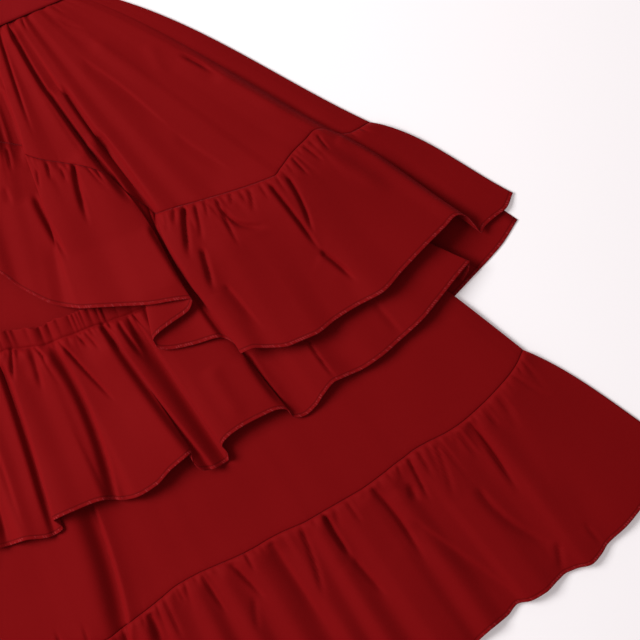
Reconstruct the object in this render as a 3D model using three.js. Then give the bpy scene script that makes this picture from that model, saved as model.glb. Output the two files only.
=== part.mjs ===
// A layered skirt laid flat on a table with its front up: a waistband, a swagged overskirt that
// ends in a gathered ruffle, a headed middle ruffle sewn to the base panel, and a base panel
// that ends in a deeper gathered ruffle. Each tier goes right round, so it has a front and a back.
//
// Sizes are in millimetres. Points on the cloth are given as x, across the skirt from its centre
// line, and drop, down the skirt from the waist line. Lift is the height of the cloth's underside
// above what it lies on. The part's own frame has x across, y up towards the waist and z up.
import * as THREE from "three";

// Cloth and seams
const WALL = 1.2;
const SEAM_GAP = 0.3;
const LAYER_GAP = 0.35;

// How a layer settles on the pile, in cells of the pile's map
const BRIDGES = 5;
const SOFTENS = 9;
const RAISE_REACH = 4;
const SETTLE_ROUNDS = 30;

// On a tight fold the wall's faces move out by up to this many times half a wall.
const MOST_MITER = 1.3;
// The most that the cloth turns between two columns of points, in radians
const MOST_TURN = 0.9;

// Waistband: a flat ring of doubled cloth
const BAND = { halfWidth: 197, depth: 40, wall: 1.8, height: 8.4, lowerEdge: 7 };

// Middle ruffle's heading, the frill that stands above its stitch line, and how far the stitches
// draw the ruffle down on the base panel
const HEADING = { depth: 20, lift: 1.6, drawnDown: 1.5 };

// Turns lines of numbers into rows with named columns.
function table(columns, lines) {
  const names = columns.split(" ");
  return lines.map((line) => Object.fromEntries(names.map((name, i) => [name, line[i]])));
}

const TIER_COLUMNS = "waistX waistLift seamX seamDrop seamLift hemX hemDrop hemLift";

// Overskirt, a row for each fold line from the waist through the seam to the hem, centre to side.
// Where hemX runs back, the cloth is turned under itself.
const OVERSKIRT_FOLDS = table(TIER_COLUMNS, [
  [0, 1.0, 0, 76, 2, 0, 222, 4],
  [24, 2.5, 20, 89, 5, 12, 236, 7],
  [44, 1.0, 40, 103, 2, 24, 256, 4],
  [62, 2.0, 58, 112, 4, 36, 271, 5],
  [76, 1.0, 72, 120, 1.8, 46, 282, 5],
  [86, 0.4, 86.5, 130, 1.2, 57, 290, 3.5],
  [90, 1.2, 83.5, 131.5, 4.8, 64, 294, 5],
  [93, 2.2, 80, 134, 8.4, 71, 298, 7],
  [99, 2.5, 91, 145, 11, 90, 305, 8.5],
  [105, 0.8, 110, 157, 9, 112, 313, 8],
  [109, 2.2, 130, 170, 10, 140, 323, 12],
  [112, 2.5, 139, 177.5, 9, 163, 328.5, 14],
  [113.4, 1.5, 144.5, 182.5, 8.6, 177, 334, 13],
  [114.6, 0.8, 146.5, 186, 6.8, 170, 342, 10.2],
  [115.7, 0.4, 147.5, 190, 5.3, 149, 347, 8.9],
  [116.8, 0.3, 149, 194, 4, 132, 351.5, 7.2],
  [117.5, 0.3, 150, 197, 2.8, 125.5, 356, 5.1],
  [118.2, 0.3, 152, 201, 1.5, 126, 363, 2.5],
  [119.1, 0.3, 155.5, 207, 0.8, 137, 370, 0.6],
  [120.2, 0.5, 162, 217, 0.6, 160, 375, 0.8],
  [121.6, 1.2, 170, 231, 0.8, 186, 378, 0.6],
  [123, 2.0, 176, 240, 4, 199, 392, 2.5],
  [125, 2.5, 178, 241, 9.5, 201, 401, 8.5],
  [129, 2.8, 188, 242, 12, 212, 401, 12],
  [134, 1.0, 203, 243.5, 11, 228, 407, 10],
  [139, 2.5, 220, 246, 12.5, 250, 413, 12],
  [145, 2.8, 245, 249, 10.5, 275, 413, 12],
  [151, 1.5, 275, 252, 11.5, 300, 407, 9],
  [157, 2.5, 298, 253, 12, 325, 403, 9],
  [162, 2.0, 308, 248, 11, 350, 401, 12],
  [168, 1.5, 325, 238, 11, 380, 388, 10],
  [174, 2.0, 342, 231, 13, 410, 375, 11],
  [180, 2.5, 354, 226, 14, 435, 365, 13],
  [183, 2.0, 361, 227.5, 12, 450, 359, 16],
  [186, 1.5, 367, 231, 8.5, 459, 364, 12],
  [188, 1.0, 373, 236, 5, 463.5, 374, 6.5],
  [190, 1.0, 380, 240, 4, 467, 384, 2.4],
  [192, 0.8, 387, 241.5, 4.5, 473, 379.5, 1.8],
  [194, 0.8, 394, 241, 4, 484, 375.5, 3.2],
  [195.8, 0.6, 401, 240, 2.5, 499, 371.5, 2.6],
  [197, 0.3, 408, 239, 0.3, 512, 359.5, 0.3],
]);
const OVERSKIRT_BOWS = { panel: 11, ruffle: 7 };

// Base skirt, with the same columns. The first rows lie just left of the centre line.
const BASE_FOLDS = table(TIER_COLUMNS, [
  [-12, 0.3, -35, 611, 6, -46, 800, 8],
  [-6, 0.3, -20, 608, 1, -32, 797, 2],
  [0, 0.3, -8, 605, 3, -16, 797, 4],
  [6, 0.3, 4, 602, 7, 0, 799, 9],
  [12, 0.3, 16, 599, 1.5, 15, 795, 2],
  [20, 0.3, 30, 595, 6, 34, 797, 9],
  [30, 0.3, 50, 589, 4, 56, 792, 5],
  [40, 0.3, 66, 587, 7, 80, 795, 10],
  [47, 0.3, 80, 586, 3.5, 96, 790, 4],
  [56, 0.3, 96, 586, 7, 118, 790, 10],
  [64, 0.3, 112, 586, 4, 134, 786, 5],
  [76, 0.3, 132, 585, 7, 158, 786, 10],
  [87, 0.3, 155, 582, 3, 182, 778, 2],
  [95, 0.3, 172, 581, 6, 200, 780, 9],
  [103, 0.3, 188, 581, 4, 214, 774, 5],
  [109, 0.3, 200, 580, 7, 232, 776, 10],
  [117, 0.3, 215, 578, 3, 252, 768, 5],
  [126, 0.3, 236, 575.5, 7, 274, 769, 10],
  [134, 0.3, 256, 573, 6, 294, 762, 8],
  [140, 0.3, 270, 570, 3, 306, 757, 5],
  [146, 0.3, 284, 566.5, 6, 322, 751, 8],
  [152, 0.3, 298, 562.5, 3, 342, 746, 3],
  [157, 0.3, 309, 560, 4, 357, 739, 2],
  [162, 0.3, 320, 557, 6, 370, 741, 8],
  [167, 0.3, 336, 555, 6, 386, 739, 10],
  [172, 0.3, 354, 554, 5, 402, 733, 6],
  [176, 0.3, 368, 552, 4, 414, 729.5, 2],
  [179, 0.3, 380, 549, 4, 424, 729.5, 3],
  [182, 0.3, 392, 545, 7, 438, 731.5, 9],
  [184, 0.3, 408, 539, 5, 452, 726, 7],
  [186, 0.3, 424, 532, 6, 462, 719, 6],
  [187.5, 0.3, 438, 525, 5, 486, 710, 7],
  [188.5, 0.3, 450, 517, 3.5, 514, 695, 6],
  [189.4, 0.3, 456.5, 511, 1.5, 543, 678, 3],
  [190, 0.3, 460, 508, 0.3, 567, 662, 0.3],
]);
const BASE_BOWS = { panel: -7, ruffle: 5 };
// Right of the centre line the seam hangs level; left of it, it is drawn down by this much.
const BASE_DRAWN_DOWN = { most: 21, fades: 110 };

// Middle ruffle, a row for each fold line from the stitch line to the hem, left to right.
const MIDDLE_FOLDS = table("seamX seamDrop seamLift hemX hemDrop hemLift", [
  [-72, 314, 3, -97, 485, 7],
  [-62, 313, 0.8, -86, 487, 2],
  [-52, 312, 3.5, -69, 488, 8],
  [-40, 311, 2, -53, 493, 4],
  [-30, 310, 0.6, -43, 495, 1],
  [-24, 309, 0.8, -30, 492, 1.5],
  [-24, 308, 3.5, -35, 481, 8],
  [-14, 307, 5, -20, 480, 11],
  [2, 312, 3, 2, 480, 9],
  [14, 315, 4.5, 16, 481, 9],
  [24, 318, 2, 28, 486, 4],
  [32, 318, 1.5, 37, 490, 4],
  [42, 318, 4.5, 51, 492, 9],
  [56, 319, 4, 72, 489, 11],
  [70, 319, 5, 92, 480, 12],
  [81, 320, 4.5, 108, 475, 12],
  [89, 321, 3.5, 118, 473, 10],
  [94, 321, 1.5, 116, 484, 4.5],
  [99, 321, 0.5, 123, 493, 1],
  [105, 322, 1.8, 140, 493, 1],
  [110, 322, 0.8, 149, 489, 2],
  [115, 322, 3, 147, 479, 8.5],
  [127, 322, 5, 160, 471, 12],
  [146, 322, 4, 185, 467, 12],
  [165, 321, 4.5, 208, 466, 11],
  [176, 320, 3, 221, 471, 8.5],
  [182, 320, 1, 223, 480, 4],
  [189, 319, 0.8, 234, 483, 2],
  [200, 318, 2, 247, 479, 4],
  [212, 317, 4, 261, 470, 8],
  [223, 315, 3, 277, 463, 9],
  [240, 311, 2, 300, 463, 6],
  [260, 305, 4, 325, 459, 8],
  [280, 299, 2, 350, 451, 7],
  [298, 292, 4, 378, 441, 9],
  [311, 286, 2, 405, 427, 7],
  [320, 281.5, 3.2, 428, 414.5, 8],
  [326, 278, 3.4, 445, 406, 7.5],
  [329.5, 276, 2.4, 441, 413, 4.4],
  [332, 274.5, 0.3, 431, 421, 0.4],
]);
// The photographed rows reach this far left; past it the right side's rows are repeated.
const MIDDLE_SEEN_TO = 97;

// Back tiers, pressed flat by the weight of the front, from centre to side
const OVERSKIRT_BACK = table(TIER_COLUMNS, [
  [0, 0, 0, 292, 0, 0, 446, 0],
  [70, 0, 130, 287, 0, 160, 444, 0],
  [130, 0, 245, 272, 0, 300, 438, 0],
  [170, 0, 340, 254, 0, 415, 428, 0],
  [190, 0, 390, 243, 0, 478, 405, 0],
  [197, 0, 408, 239, 0, 506, 386, 0],
]);
const MIDDLE_BACK = table("seamX seamDrop seamLift hemX hemDrop hemLift", [
  [0, 320, 0, 0, 480, 0],
  [110, 318, 0, 150, 476, 0],
  [210, 308, 0, 290, 462, 0],
  [290, 290, 0, 398, 439, 0],
  [331, 274.5, 0, 452, 417, 0],
]);
const BASE_BACK = table(TIER_COLUMNS, [
  [0, 0, 0, 590, 0, 0, 782, 0],
  [70, 0, 140, 584, 0, 175, 774, 0],
  [130, 0, 270, 568, 0, 330, 742, 0],
  [168, 0, 370, 549, 0, 440, 712, 0],
  [185, 0, 430, 526, 0, 512, 690, 0],
  [190, 0, 460, 508, 0, 565, 661, 0],
]);

// How finely the walls are divided
const STEPS = {
  overskirt: { across: 17, panel: 5, ruffle: 5 },
  middle: { across: 18, heading: 1, ruffle: 4 },
  base: { across: 19, panel: 4, ruffle: 4 },
  back: { across: 60, panel: 3, heading: 1, ruffle: 2 },
};

const mix = (a, b, v) => a + (b - a) * v;
const smooth = (v) => v * v * (3 - 2 * v);

// A monotone cubic through values at increasing places: it never overshoots a row.
function throughRows(places, values) {
  const n = places.length;
  const slope = places.slice(1).map((p, i) => (values[i + 1] - values[i]) / (p - places[i]));
  const tangent = values.map((_, i) => {
    if (i === 0) return slope[0];
    if (i === n - 1) return slope[n - 2];
    const before = slope[i - 1];
    const after = slope[i];
    return before * after <= 0 ? 0 : (2 * before * after) / (before + after);
  });
  return (place) => {
    let i = 0;
    while (i < n - 2 && place > places[i + 1]) i += 1;
    const width = places[i + 1] - places[i];
    const s = (place - places[i]) / width;
    const s2 = s * s;
    const s3 = s2 * s;
    return (
      values[i] * (2 * s3 - 3 * s2 + 1) +
      values[i + 1] * (3 * s2 - 2 * s3) +
      width * (tangent[i] * (s3 - 2 * s2 + s) + tangent[i + 1] * (s3 - s2))
    );
  };
}

// How far the cloth turns between two places, seen along the folds at the hem or at the seam.
function turning(curves, start, end) {
  const looks = 12;
  const sections = [
    [curves.hemX, curves.hemLift],
    [curves.seamX, curves.seamLift],
  ];
  return Math.max(
    ...sections.map(([across, lift]) => {
      const angles = Array.from({ length: looks }, (_, k) => {
        const here = mix(start, end, k / looks);
        const next = mix(start, end, (k + 1) / looks);
        return Math.atan2(lift(next) - lift(here), across(next) - across(here));
      });
      const turns = angles.slice(1).map((angle, k) => {
        const turn = Math.abs(angle - angles[k]);
        return Math.min(turn, Math.PI * 2 - turn);
      });
      return turns.reduce((sum, turn) => sum + turn, 0);
    }),
  );
}

// A curve for each column, over the distance walked along the hem from fold to fold, and the
// places along it where the wall gets a column of points.
function throughFolds(rows, acrossStep) {
  const places = [0];
  rows.slice(1).forEach((row, i) => {
    const last = rows[i];
    const step = Math.hypot(row.hemX - last.hemX, row.hemDrop - last.hemDrop, row.hemLift - last.hemLift);
    places.push(places[i] + step);
  });
  const curves = {};
  for (const name of Object.keys(rows[0])) {
    curves[name] = throughRows(places, rows.map((row) => row[name]));
  }
  const stations = [0];
  places.slice(1).forEach((end, i) => {
    const steps = Math.ceil((end - places[i]) / acrossStep);
    const parts = Math.max(steps, Math.ceil(turning(curves, places[i], end) / MOST_TURN));
    for (let k = 1; k <= parts; k += 1) stations.push(mix(places[i], end, k / parts));
  });
  return { curves, stations };
}

// The same rows on the other side of the centre line, outermost first.
const mirrored = (rows) =>
  rows
    .map((row) => {
      const other = { ...row, seamX: -row.seamX, hemX: -row.hemX };
      if ("waistX" in row) other.waistX = -row.waistX;
      return other;
    })
    .reverse();

// A map of how high the cloth laid so far reaches, in square cells over the table.
class Pile {
  constructor() {
    this.cell = 4;
    this.left = -640;
    this.top = -80;
    this.across = 320;
    this.down = 240;
    this.height = new Float64Array(this.across * this.down);
  }

  // The cell that holds a point.
  cellOf(point) {
    const column = Math.round((point.x - this.left) / this.cell);
    const line = Math.round((-point.y - this.top) / this.cell);
    return line * this.across + column;
  }

  // Visits points of a grid's faces, closer together than the cells are wide.
  visit(grid, see) {
    const step = this.cell * 0.7;
    for (let i = 0; i < grid.length - 1; i += 1) {
      for (let j = 0; j < grid[i].length - 1; j += 1) {
        const corners = [grid[i][j], grid[i + 1][j], grid[i][j + 1], grid[i + 1][j + 1]];
        const [a, b, c, d] = corners;
        const wide = Math.ceil(Math.max(a.distanceTo(b), c.distanceTo(d)) / step);
        const deep = Math.ceil(Math.max(a.distanceTo(c), b.distanceTo(d)) / step);
        for (let m = 0; m <= wide; m += 1) {
          for (let n = 0; n <= deep; n += 1) {
            const start = a.clone().lerp(b, m / wide);
            see(start.lerp(c.clone().lerp(d, m / wide), n / deep), corners);
          }
        }
      }
    }
  }

  // Takes in the upper face of a wall.
  add(upper) {
    this.visit(upper, (point) => {
      const at = this.cellOf(point);
      this.height[at] = Math.max(this.height[at], point.z);
    });
  }

  // Replaces each value by a summary of its neighbours, first across and then down.
  sweep(values, reach, summary) {
    const { across, down } = this;
    const pass = (from, stride, isInside) =>
      from.map((_, at) => {
        const near = [];
        for (let k = -reach; k <= reach; k += 1) if (isInside(at, k)) near.push(from[at + k * stride]);
        return summary(near);
      });
    const sideways = pass(values, 1, (at, k) => (at % across) + k >= 0 && (at % across) + k < across);
    return pass(sideways, across, (at, k) => {
      const line = Math.floor(at / across) + k;
      return line >= 0 && line < down;
    });
  }
}

const highest = (values) => Math.max(...values);
const average = (values) => values.reduce((sum, value) => sum + value, 0) / values.length;

// What the next layer lies on: the pile, spread so that the layer bridges the hollows under it
// and then averaged so that it falls softly. It is raised where the layer would still touch.
class Bed {
  constructor(pile) {
    this.pile = pile;
    this.solid = pile.sweep(pile.height, 1, highest);
    this.soft = pile.sweep(pile.sweep(pile.height, BRIDGES, highest), SOFTENS, average);
  }

  heightAt(x, drop) {
    const { pile, soft } = this;
    const column = (x - pile.left) / pile.cell;
    const line = (drop - pile.top) / pile.cell;
    const i = Math.floor(column);
    const j = Math.floor(line);
    const value = (c, l) => soft[l * pile.across + c];
    const near = mix(value(i, j), value(i + 1, j), column - i);
    const far = mix(value(i, j + 1), value(i + 1, j + 1), column - i);
    const height = mix(near, far, line - j);
    return height > 0 ? height + LAYER_GAP : 0;
  }

  // Raises the bed under each corner of the faces that touch the pile. Returns true if any do.
  raiseUnder(lower) {
    const { pile } = this;
    const needs = new Map();
    pile.visit(lower, (point, corners) => {
      const solid = this.solid[pile.cellOf(point)];
      const need = solid > 0 ? solid + LAYER_GAP - point.z : 0;
      if (need <= 0.01) return;
      for (const corner of corners) {
        const at = pile.cellOf(corner);
        needs.set(at, Math.max(needs.get(at) ?? 0, need));
      }
    });
    const raised = this.soft.slice();
    for (const [at, need] of needs) {
      for (let m = -RAISE_REACH; m <= RAISE_REACH; m += 1) {
        for (let n = -RAISE_REACH; n <= RAISE_REACH; n += 1) {
          const share = Math.max(0, 1 - Math.hypot(m, n) / (RAISE_REACH + 1));
          const near = at + m * pile.across + n;
          raised[near] = Math.max(raised[near], this.soft[near] + need * smooth(Math.min(1, share * 1.5)));
        }
      }
    }
    this.soft = raised;
    return needs.size > 0;
  }
}

// Moves a point on a fold line sideways, most at a third of its length, away from the centre.
function bowed(start, end, v, bow) {
  const length = Math.hypot(end.x - start.x, end.drop - start.drop);
  const push = bow * 6.75 * v * (1 - v) ** 2;
  const side = Math.sign(start.x + end.x);
  return {
    x: mix(start.x, end.x, v) + (side * push * (end.drop - start.drop)) / length,
    drop: mix(start.drop, end.drop, v) - (push * Math.abs(end.x - start.x)) / length,
  };
}

// How much of the side's bow a fold line takes: all at the side, none in the middle.
const bowShare = (x, sideX) => Math.max(0, (Math.abs(x) / sideX - 0.6) / 0.4) ** 2;

// Lays one grid of points on the pile. at(column, v) gives x, drop and lift.
function laid(stations, downSteps, at, pile) {
  const bed = new Bed(pile);
  let grid;
  let up;
  for (let round = 0; round < SETTLE_ROUNDS; round += 1) {
    grid = stations.map((station) =>
      downSteps.map((v) => {
        const p = at(station, v);
        return new THREE.Vector3(p.x, -p.drop, bed.heightAt(p.x, p.drop) + p.lift + WALL / 2);
      }),
    );
    up = upward(grid);
    if (!bed.raiseUnder(face(grid, up, -1))) break;
  }
  return { grid, up };
}

// The direction of a line at one of its points, halfway between its two sides. Its length falls
// from 2 on a straight line to 0 where the line doubles back.
function alongAt(line, k) {
  const along = new THREE.Vector3();
  if (k > 0) along.add(line[k].clone().sub(line[k - 1]).normalize());
  if (k < line.length - 1) along.add(line[k + 1].clone().sub(line[k]).normalize());
  return k > 0 && k < line.length - 1 ? along : along.multiplyScalar(2);
}

// The cloth's own upward direction at each point of a grid, longer on a fold, so that the wall
// keeps its thickness round it.
function upward(grid) {
  return grid.map((line, i) =>
    line.map((_, j) => {
      const lineAcross = grid.map((other) => other[j]);
      const across = alongAt(lineAcross, i);
      const miter = Math.min(2 / across.length(), MOST_MITER);
      return alongAt(line, j).cross(across).normalize().multiplyScalar(miter);
    }),
  );
}

// One face of the cloth, half a wall from the grid, above it or below it.
const face = (grid, up, side) =>
  grid.map((line, i) => line.map((p, j) => p.clone().addScaledVector(up[i][j], (side * WALL) / 2)));

// A closed wall between the cloth's two faces.
function wall(name, grid, up, material) {
  const upper = face(grid, up, 1);
  const lower = face(grid, up, -1);
  const across = grid.length;
  const down = grid[0].length;
  const positions = [...upper.flat(), ...lower.flat()].flatMap((p) => [p.x, p.y, p.z]);
  const at = (i, j) => i * down + j;
  const under = (i, j) => across * down + at(i, j);
  const faces = [];
  const quad = (a, b, c, d) => faces.push(a, b, c, a, c, d);
  for (let i = 0; i < across - 1; i += 1) {
    for (let j = 0; j < down - 1; j += 1) {
      quad(at(i, j), at(i, j + 1), at(i + 1, j + 1), at(i + 1, j));
      quad(under(i, j), under(i + 1, j), under(i + 1, j + 1), under(i, j + 1));
    }
  }
  for (let i = 0; i < across - 1; i += 1) {
    quad(at(i, 0), at(i + 1, 0), under(i + 1, 0), under(i, 0));
    quad(at(i, down - 1), under(i, down - 1), under(i + 1, down - 1), at(i + 1, down - 1));
  }
  for (let j = 0; j < down - 1; j += 1) {
    quad(at(0, j + 1), at(0, j), under(0, j), under(0, j + 1));
    quad(at(across - 1, j), at(across - 1, j + 1), under(across - 1, j + 1), under(across - 1, j));
  }
  const geometry = new THREE.BufferGeometry();
  geometry.setAttribute("position", new THREE.Float32BufferAttribute(positions, 3));
  geometry.setIndex(faces);
  geometry.computeVertexNormals();
  const mesh = new THREE.Mesh(geometry, material);
  mesh.name = name;
  return { mesh, upper };
}

const evenly = (steps) => Array.from({ length: steps + 1 }, (_, i) => i / steps);

// A tier that hangs from the waist: a panel and the ruffle sewn to its lower edge. Both share
// the seam's points, and the ruffle starts a seam gap further down.
function tier(names, rows, bows, steps, pile, material) {
  const { curves, stations } = throughFolds(rows, steps.across);
  const sideX = { seam: rows.at(-1).seamX, hem: rows.at(-1).hemX };
  const topDrop = BAND.lowerEdge + SEAM_GAP;
  const at = (station, v) => {
    const waist = { x: curves.waistX(station), drop: topDrop };
    const seam = { x: curves.seamX(station), drop: curves.seamDrop(station) };
    const hem = { x: curves.hemX(station), drop: curves.hemDrop(station) };
    if (v <= 1) {
      const place = bowed(waist, seam, v, bows.panel * bowShare(seam.x, sideX.seam));
      return { ...place, lift: mix(curves.waistLift(station), curves.seamLift(station), smooth(v)) };
    }
    const w = v - 1;
    const place = bowed(seam, hem, w, bows.ruffle * bowShare(hem.x, sideX.hem));
    return { ...place, lift: mix(curves.seamLift(station), curves.hemLift(station), smooth(w)) };
  };
  const downSteps = [...evenly(steps.panel), ...evenly(steps.ruffle).slice(1).map((v) => v + 1)];
  const { grid, up } = laid(stations, downSteps, at, pile);
  const seam = steps.panel;
  const panel = wall(names.panel, grid.map((l) => l.slice(0, seam + 1)), up.map((l) => l.slice(0, seam + 1)), material);
  const seamLine = grid.map((line) => line[seam]);
  const ruffleGrid = grid.map((line, i) => {
    const along = alongAt(seamLine, i);
    const miter = Math.min(2 / along.length(), MOST_MITER);
    const away = along.cross(up[i][seam]).normalize();
    return [line[seam].clone().addScaledVector(away, SEAM_GAP * miter), ...line.slice(seam + 1)];
  });
  const ruffle = wall(names.ruffle, ruffleGrid, up.map((l) => l.slice(seam)), material);
  return [panel, ruffle];
}

// The middle ruffle: one strip, sewn to the base panel below its heading.
function headed(name, rows, steps, pile, material) {
  const { curves, stations } = throughFolds(rows, steps.across);
  const at = (station, v) => {
    const seam = {
      x: curves.seamX(station),
      drop: curves.seamDrop(station),
      lift: curves.seamLift(station) - HEADING.drawnDown,
    };
    if (v < 0) return { x: seam.x, drop: seam.drop + v * HEADING.depth, lift: seam.lift - v * HEADING.lift };
    return {
      x: mix(seam.x, curves.hemX(station), v),
      drop: mix(seam.drop, curves.hemDrop(station), v),
      lift: mix(seam.lift, curves.hemLift(station), smooth(v)),
    };
  };
  const downSteps = [...evenly(steps.heading).slice(1).reverse().map((v) => -v), ...evenly(steps.ruffle)];
  const { grid, up } = laid(stations, downSteps, at, pile);
  return [wall(name, grid, up, material)];
}

// The waistband: a flat ring whose ends are round, with its lower edge at the waist seam.
function waistband(material) {
  const outline = (halfWidth, low, high) => {
    const radius = (high - low) / 2;
    const shape = new THREE.Path();
    shape.moveTo(-halfWidth + radius, low);
    shape.lineTo(halfWidth - radius, low);
    shape.absarc(halfWidth - radius, low + radius, radius, -Math.PI / 2, Math.PI / 2, false);
    shape.lineTo(-halfWidth + radius, high);
    shape.absarc(-halfWidth + radius, low + radius, radius, Math.PI / 2, Math.PI * 1.5, false);
    return shape;
  };
  const ring = new THREE.Shape(outline(BAND.halfWidth, 0, BAND.height).getPoints(8));
  ring.holes.push(outline(BAND.halfWidth - BAND.wall, BAND.wall, BAND.height - BAND.wall));
  const geometry = new THREE.ExtrudeGeometry(ring, { depth: BAND.depth, bevelEnabled: false, curveSegments: 8 });
  geometry.rotateX(Math.PI / 2);
  geometry.translate(0, BAND.depth - BAND.lowerEdge, 0);
  const mesh = new THREE.Mesh(geometry, material);
  mesh.name = "waistband";
  return mesh;
}

const crepe = new THREE.MeshStandardMaterial({ color: 0x780e10, roughness: 0.75, metalness: 0 });
const bandCloth = new THREE.MeshStandardMaterial({ color: 0x84161b, roughness: 0.7, metalness: 0 });

// Left of the centre rows, the base repeats its right side, drawn down a little.
function baseRows() {
  const left = mirrored(BASE_FOLDS.filter((row) => row.seamX > 45)).map((row) => {
    const first = BASE_FOLDS[0];
    const down = BASE_DRAWN_DOWN.most * Math.exp((row.seamX - first.seamX) / BASE_DRAWN_DOWN.fades);
    return { ...row, seamDrop: row.seamDrop + down, hemDrop: row.hemDrop + down / 3 };
  });
  return [...left, ...BASE_FOLDS];
}

const symmetric = (rows) => [...mirrored(rows.slice(1)), ...rows];
const middleRows = () => {
  const left = mirrored(MIDDLE_FOLDS.filter((row) => row.hemX > MIDDLE_SEEN_TO + 12 && row.seamX > 80));
  return [...left, ...MIDDLE_FOLDS];
};

const skirt = new THREE.Group();
const pile = new Pile();
function lay(pieces) {
  for (const { mesh, upper } of pieces) {
    pile.add(upper);
    skirt.add(mesh);
  }
}

lay(
  tier(
    { panel: "overskirt_back", ruffle: "overskirt_ruffle_back" },
    symmetric(OVERSKIRT_BACK),
    OVERSKIRT_BOWS,
    STEPS.back,
    pile,
    crepe,
  ),
);
lay(headed("middle_ruffle_back", symmetric(MIDDLE_BACK), STEPS.back, pile, crepe));
lay(
  tier({ panel: "base_back", ruffle: "base_ruffle_back" }, symmetric(BASE_BACK), BASE_BOWS, STEPS.back, pile, crepe),
);
lay(
  tier({ panel: "base_front", ruffle: "base_ruffle_front" }, baseRows(), BASE_BOWS, STEPS.base, pile, crepe),
);
lay(headed("middle_ruffle_front", middleRows(), STEPS.middle, pile, crepe));
lay(
  tier(
    { panel: "overskirt_front", ruffle: "overskirt_ruffle_front" },
    symmetric(OVERSKIRT_FOLDS),
    OVERSKIRT_BOWS,
    STEPS.overskirt,
    pile,
    crepe,
  ),
);
skirt.add(waistband(bandCloth));

// The origin is under the middle of the whole skirt, on the table.
const reach = new THREE.Box3().setFromObject(skirt);
const middle = reach.getCenter(new THREE.Vector3());
skirt.position.set(-middle.x, -middle.y, -reach.min.z);

export default skirt;
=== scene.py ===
"""A layered skirt laid flat with its front up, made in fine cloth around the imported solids.

Tables and sizes here are in millimetres, as a cutter would note them: x runs across the skirt from
its centre line, drop runs down it from the waist line, and lift is the height of the cloth's
underside above what it lies on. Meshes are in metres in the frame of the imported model.
"""

import math

import bpy
import numpy as np
from bpy.props import FloatProperty, FloatVectorProperty, IntProperty, PointerProperty
from bpy.types import Operator, Panel, PropertyGroup
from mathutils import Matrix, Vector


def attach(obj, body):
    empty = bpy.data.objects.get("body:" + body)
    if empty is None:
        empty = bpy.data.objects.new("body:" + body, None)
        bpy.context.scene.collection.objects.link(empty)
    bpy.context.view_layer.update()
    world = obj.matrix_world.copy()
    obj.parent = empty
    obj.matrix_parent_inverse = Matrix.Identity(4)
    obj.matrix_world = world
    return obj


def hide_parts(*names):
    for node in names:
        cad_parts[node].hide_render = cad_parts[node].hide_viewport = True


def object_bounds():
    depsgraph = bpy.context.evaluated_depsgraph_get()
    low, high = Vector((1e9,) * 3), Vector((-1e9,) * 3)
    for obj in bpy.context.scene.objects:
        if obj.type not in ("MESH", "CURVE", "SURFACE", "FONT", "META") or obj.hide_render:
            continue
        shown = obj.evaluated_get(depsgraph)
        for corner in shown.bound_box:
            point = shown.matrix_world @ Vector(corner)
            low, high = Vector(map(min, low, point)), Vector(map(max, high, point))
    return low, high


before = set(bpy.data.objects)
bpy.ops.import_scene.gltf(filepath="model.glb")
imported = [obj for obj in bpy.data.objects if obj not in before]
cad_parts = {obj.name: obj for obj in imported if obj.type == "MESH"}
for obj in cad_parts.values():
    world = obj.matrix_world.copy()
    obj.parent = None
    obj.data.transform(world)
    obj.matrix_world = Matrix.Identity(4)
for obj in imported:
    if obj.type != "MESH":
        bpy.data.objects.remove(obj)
CAD_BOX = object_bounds()

bl_info = {
    "name": "Layered skirt",
    "version": (1, 0, 0),
    "blender": (4, 5, 0),
    "location": "View3D > Sidebar > Skirt",
    "description": "Lays a tiered skirt with gathered ruffles around its packed solids",
    "category": "Add Mesh",
}

MM = 0.001

# Waistband: its size, how its upper side dips, how its edges are pressed, the powers of cosine and
# sine that round its section, and its points. Then the place of the waist line on the y axis
BAND = {"half_width": 197.0, "depth": 40.0, "lower_edge": 7.0, "height": 8.4, "wall": 1.6}
BAND_DIP = {"height": 0.42, "waves": (9.0, 23.0)}
BAND_EDGE = {"pinch": 0.5, "reach": 0.8}
BAND_ROUND = {"x": 0.35, "z": 0.45}
BAND_GRID = {"round": 360, "down": 15}
WAIST_Y = CAD_BOX[1][1] / MM - (BAND["depth"] - BAND["lower_edge"])

# Gaps at seams and between layers, and between the shown shells of a panel and its ruffle
SEAM_GAP = 0.3
LAYER_GAP = 0.3
SHOWN_GAP = 0.02

# Depths of the ruffles that their points are spaced for, and the middle ruffle's heading
RUFFLE_DEPTH = 160.0
FALL_DEPTH = 170.0
HEADING = {"depth": 20.0, "lift": 1.6, "drawn_down": 1.5, "lines": 15}
FRILL = {"spacing": 0.75, "height": 1.2, "least": 0.3, "grows_over": 2.5, "edge": 3.0}
CRESTS = {"apart": (0.3, 2.0), "tall": (0.25, 1.0), "power": 0.7}

# A seam's trough: its depth and half width
TIER_SEAM = (0.3, 1.6)
STITCH_LINE = (1.0, 1.4)
ROLL = {"width": 2.6, "height": 0.2}
LEAST_LIFT = 0.05

# Distances between points down a tier, and how far they take to widen to the plain distance
STEP = {"ruffle": 1.4, "roll": 0.7, "waist": 2.0, "seam": 1.6, "covered": 10.0}
WIDENS = {"ruffle": 22.0, "waist": 25.0, "seam": 12.0}
ROLL_STEPS_FROM = 4.2
SHOWN_FROM = -110.0
WALK_POINTS = 1001
HEM_WALK_POINTS = 4001
EVENED_OVER = {"most": 40, "share": 12}
CALM_OVER = 0.09
BOWED_FROM = 0.6

# How cloth settles on the pile: what it bridges and softens, in cells, and when it is settled
CLOTH_BRIDGES = 6
CLOTH_SOFTENS = 10
RAISE = {"spreads": 3, "softens": 2}
SETTLE_ROUNDS = 14
SETTLED_WITHIN = 0.05

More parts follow.
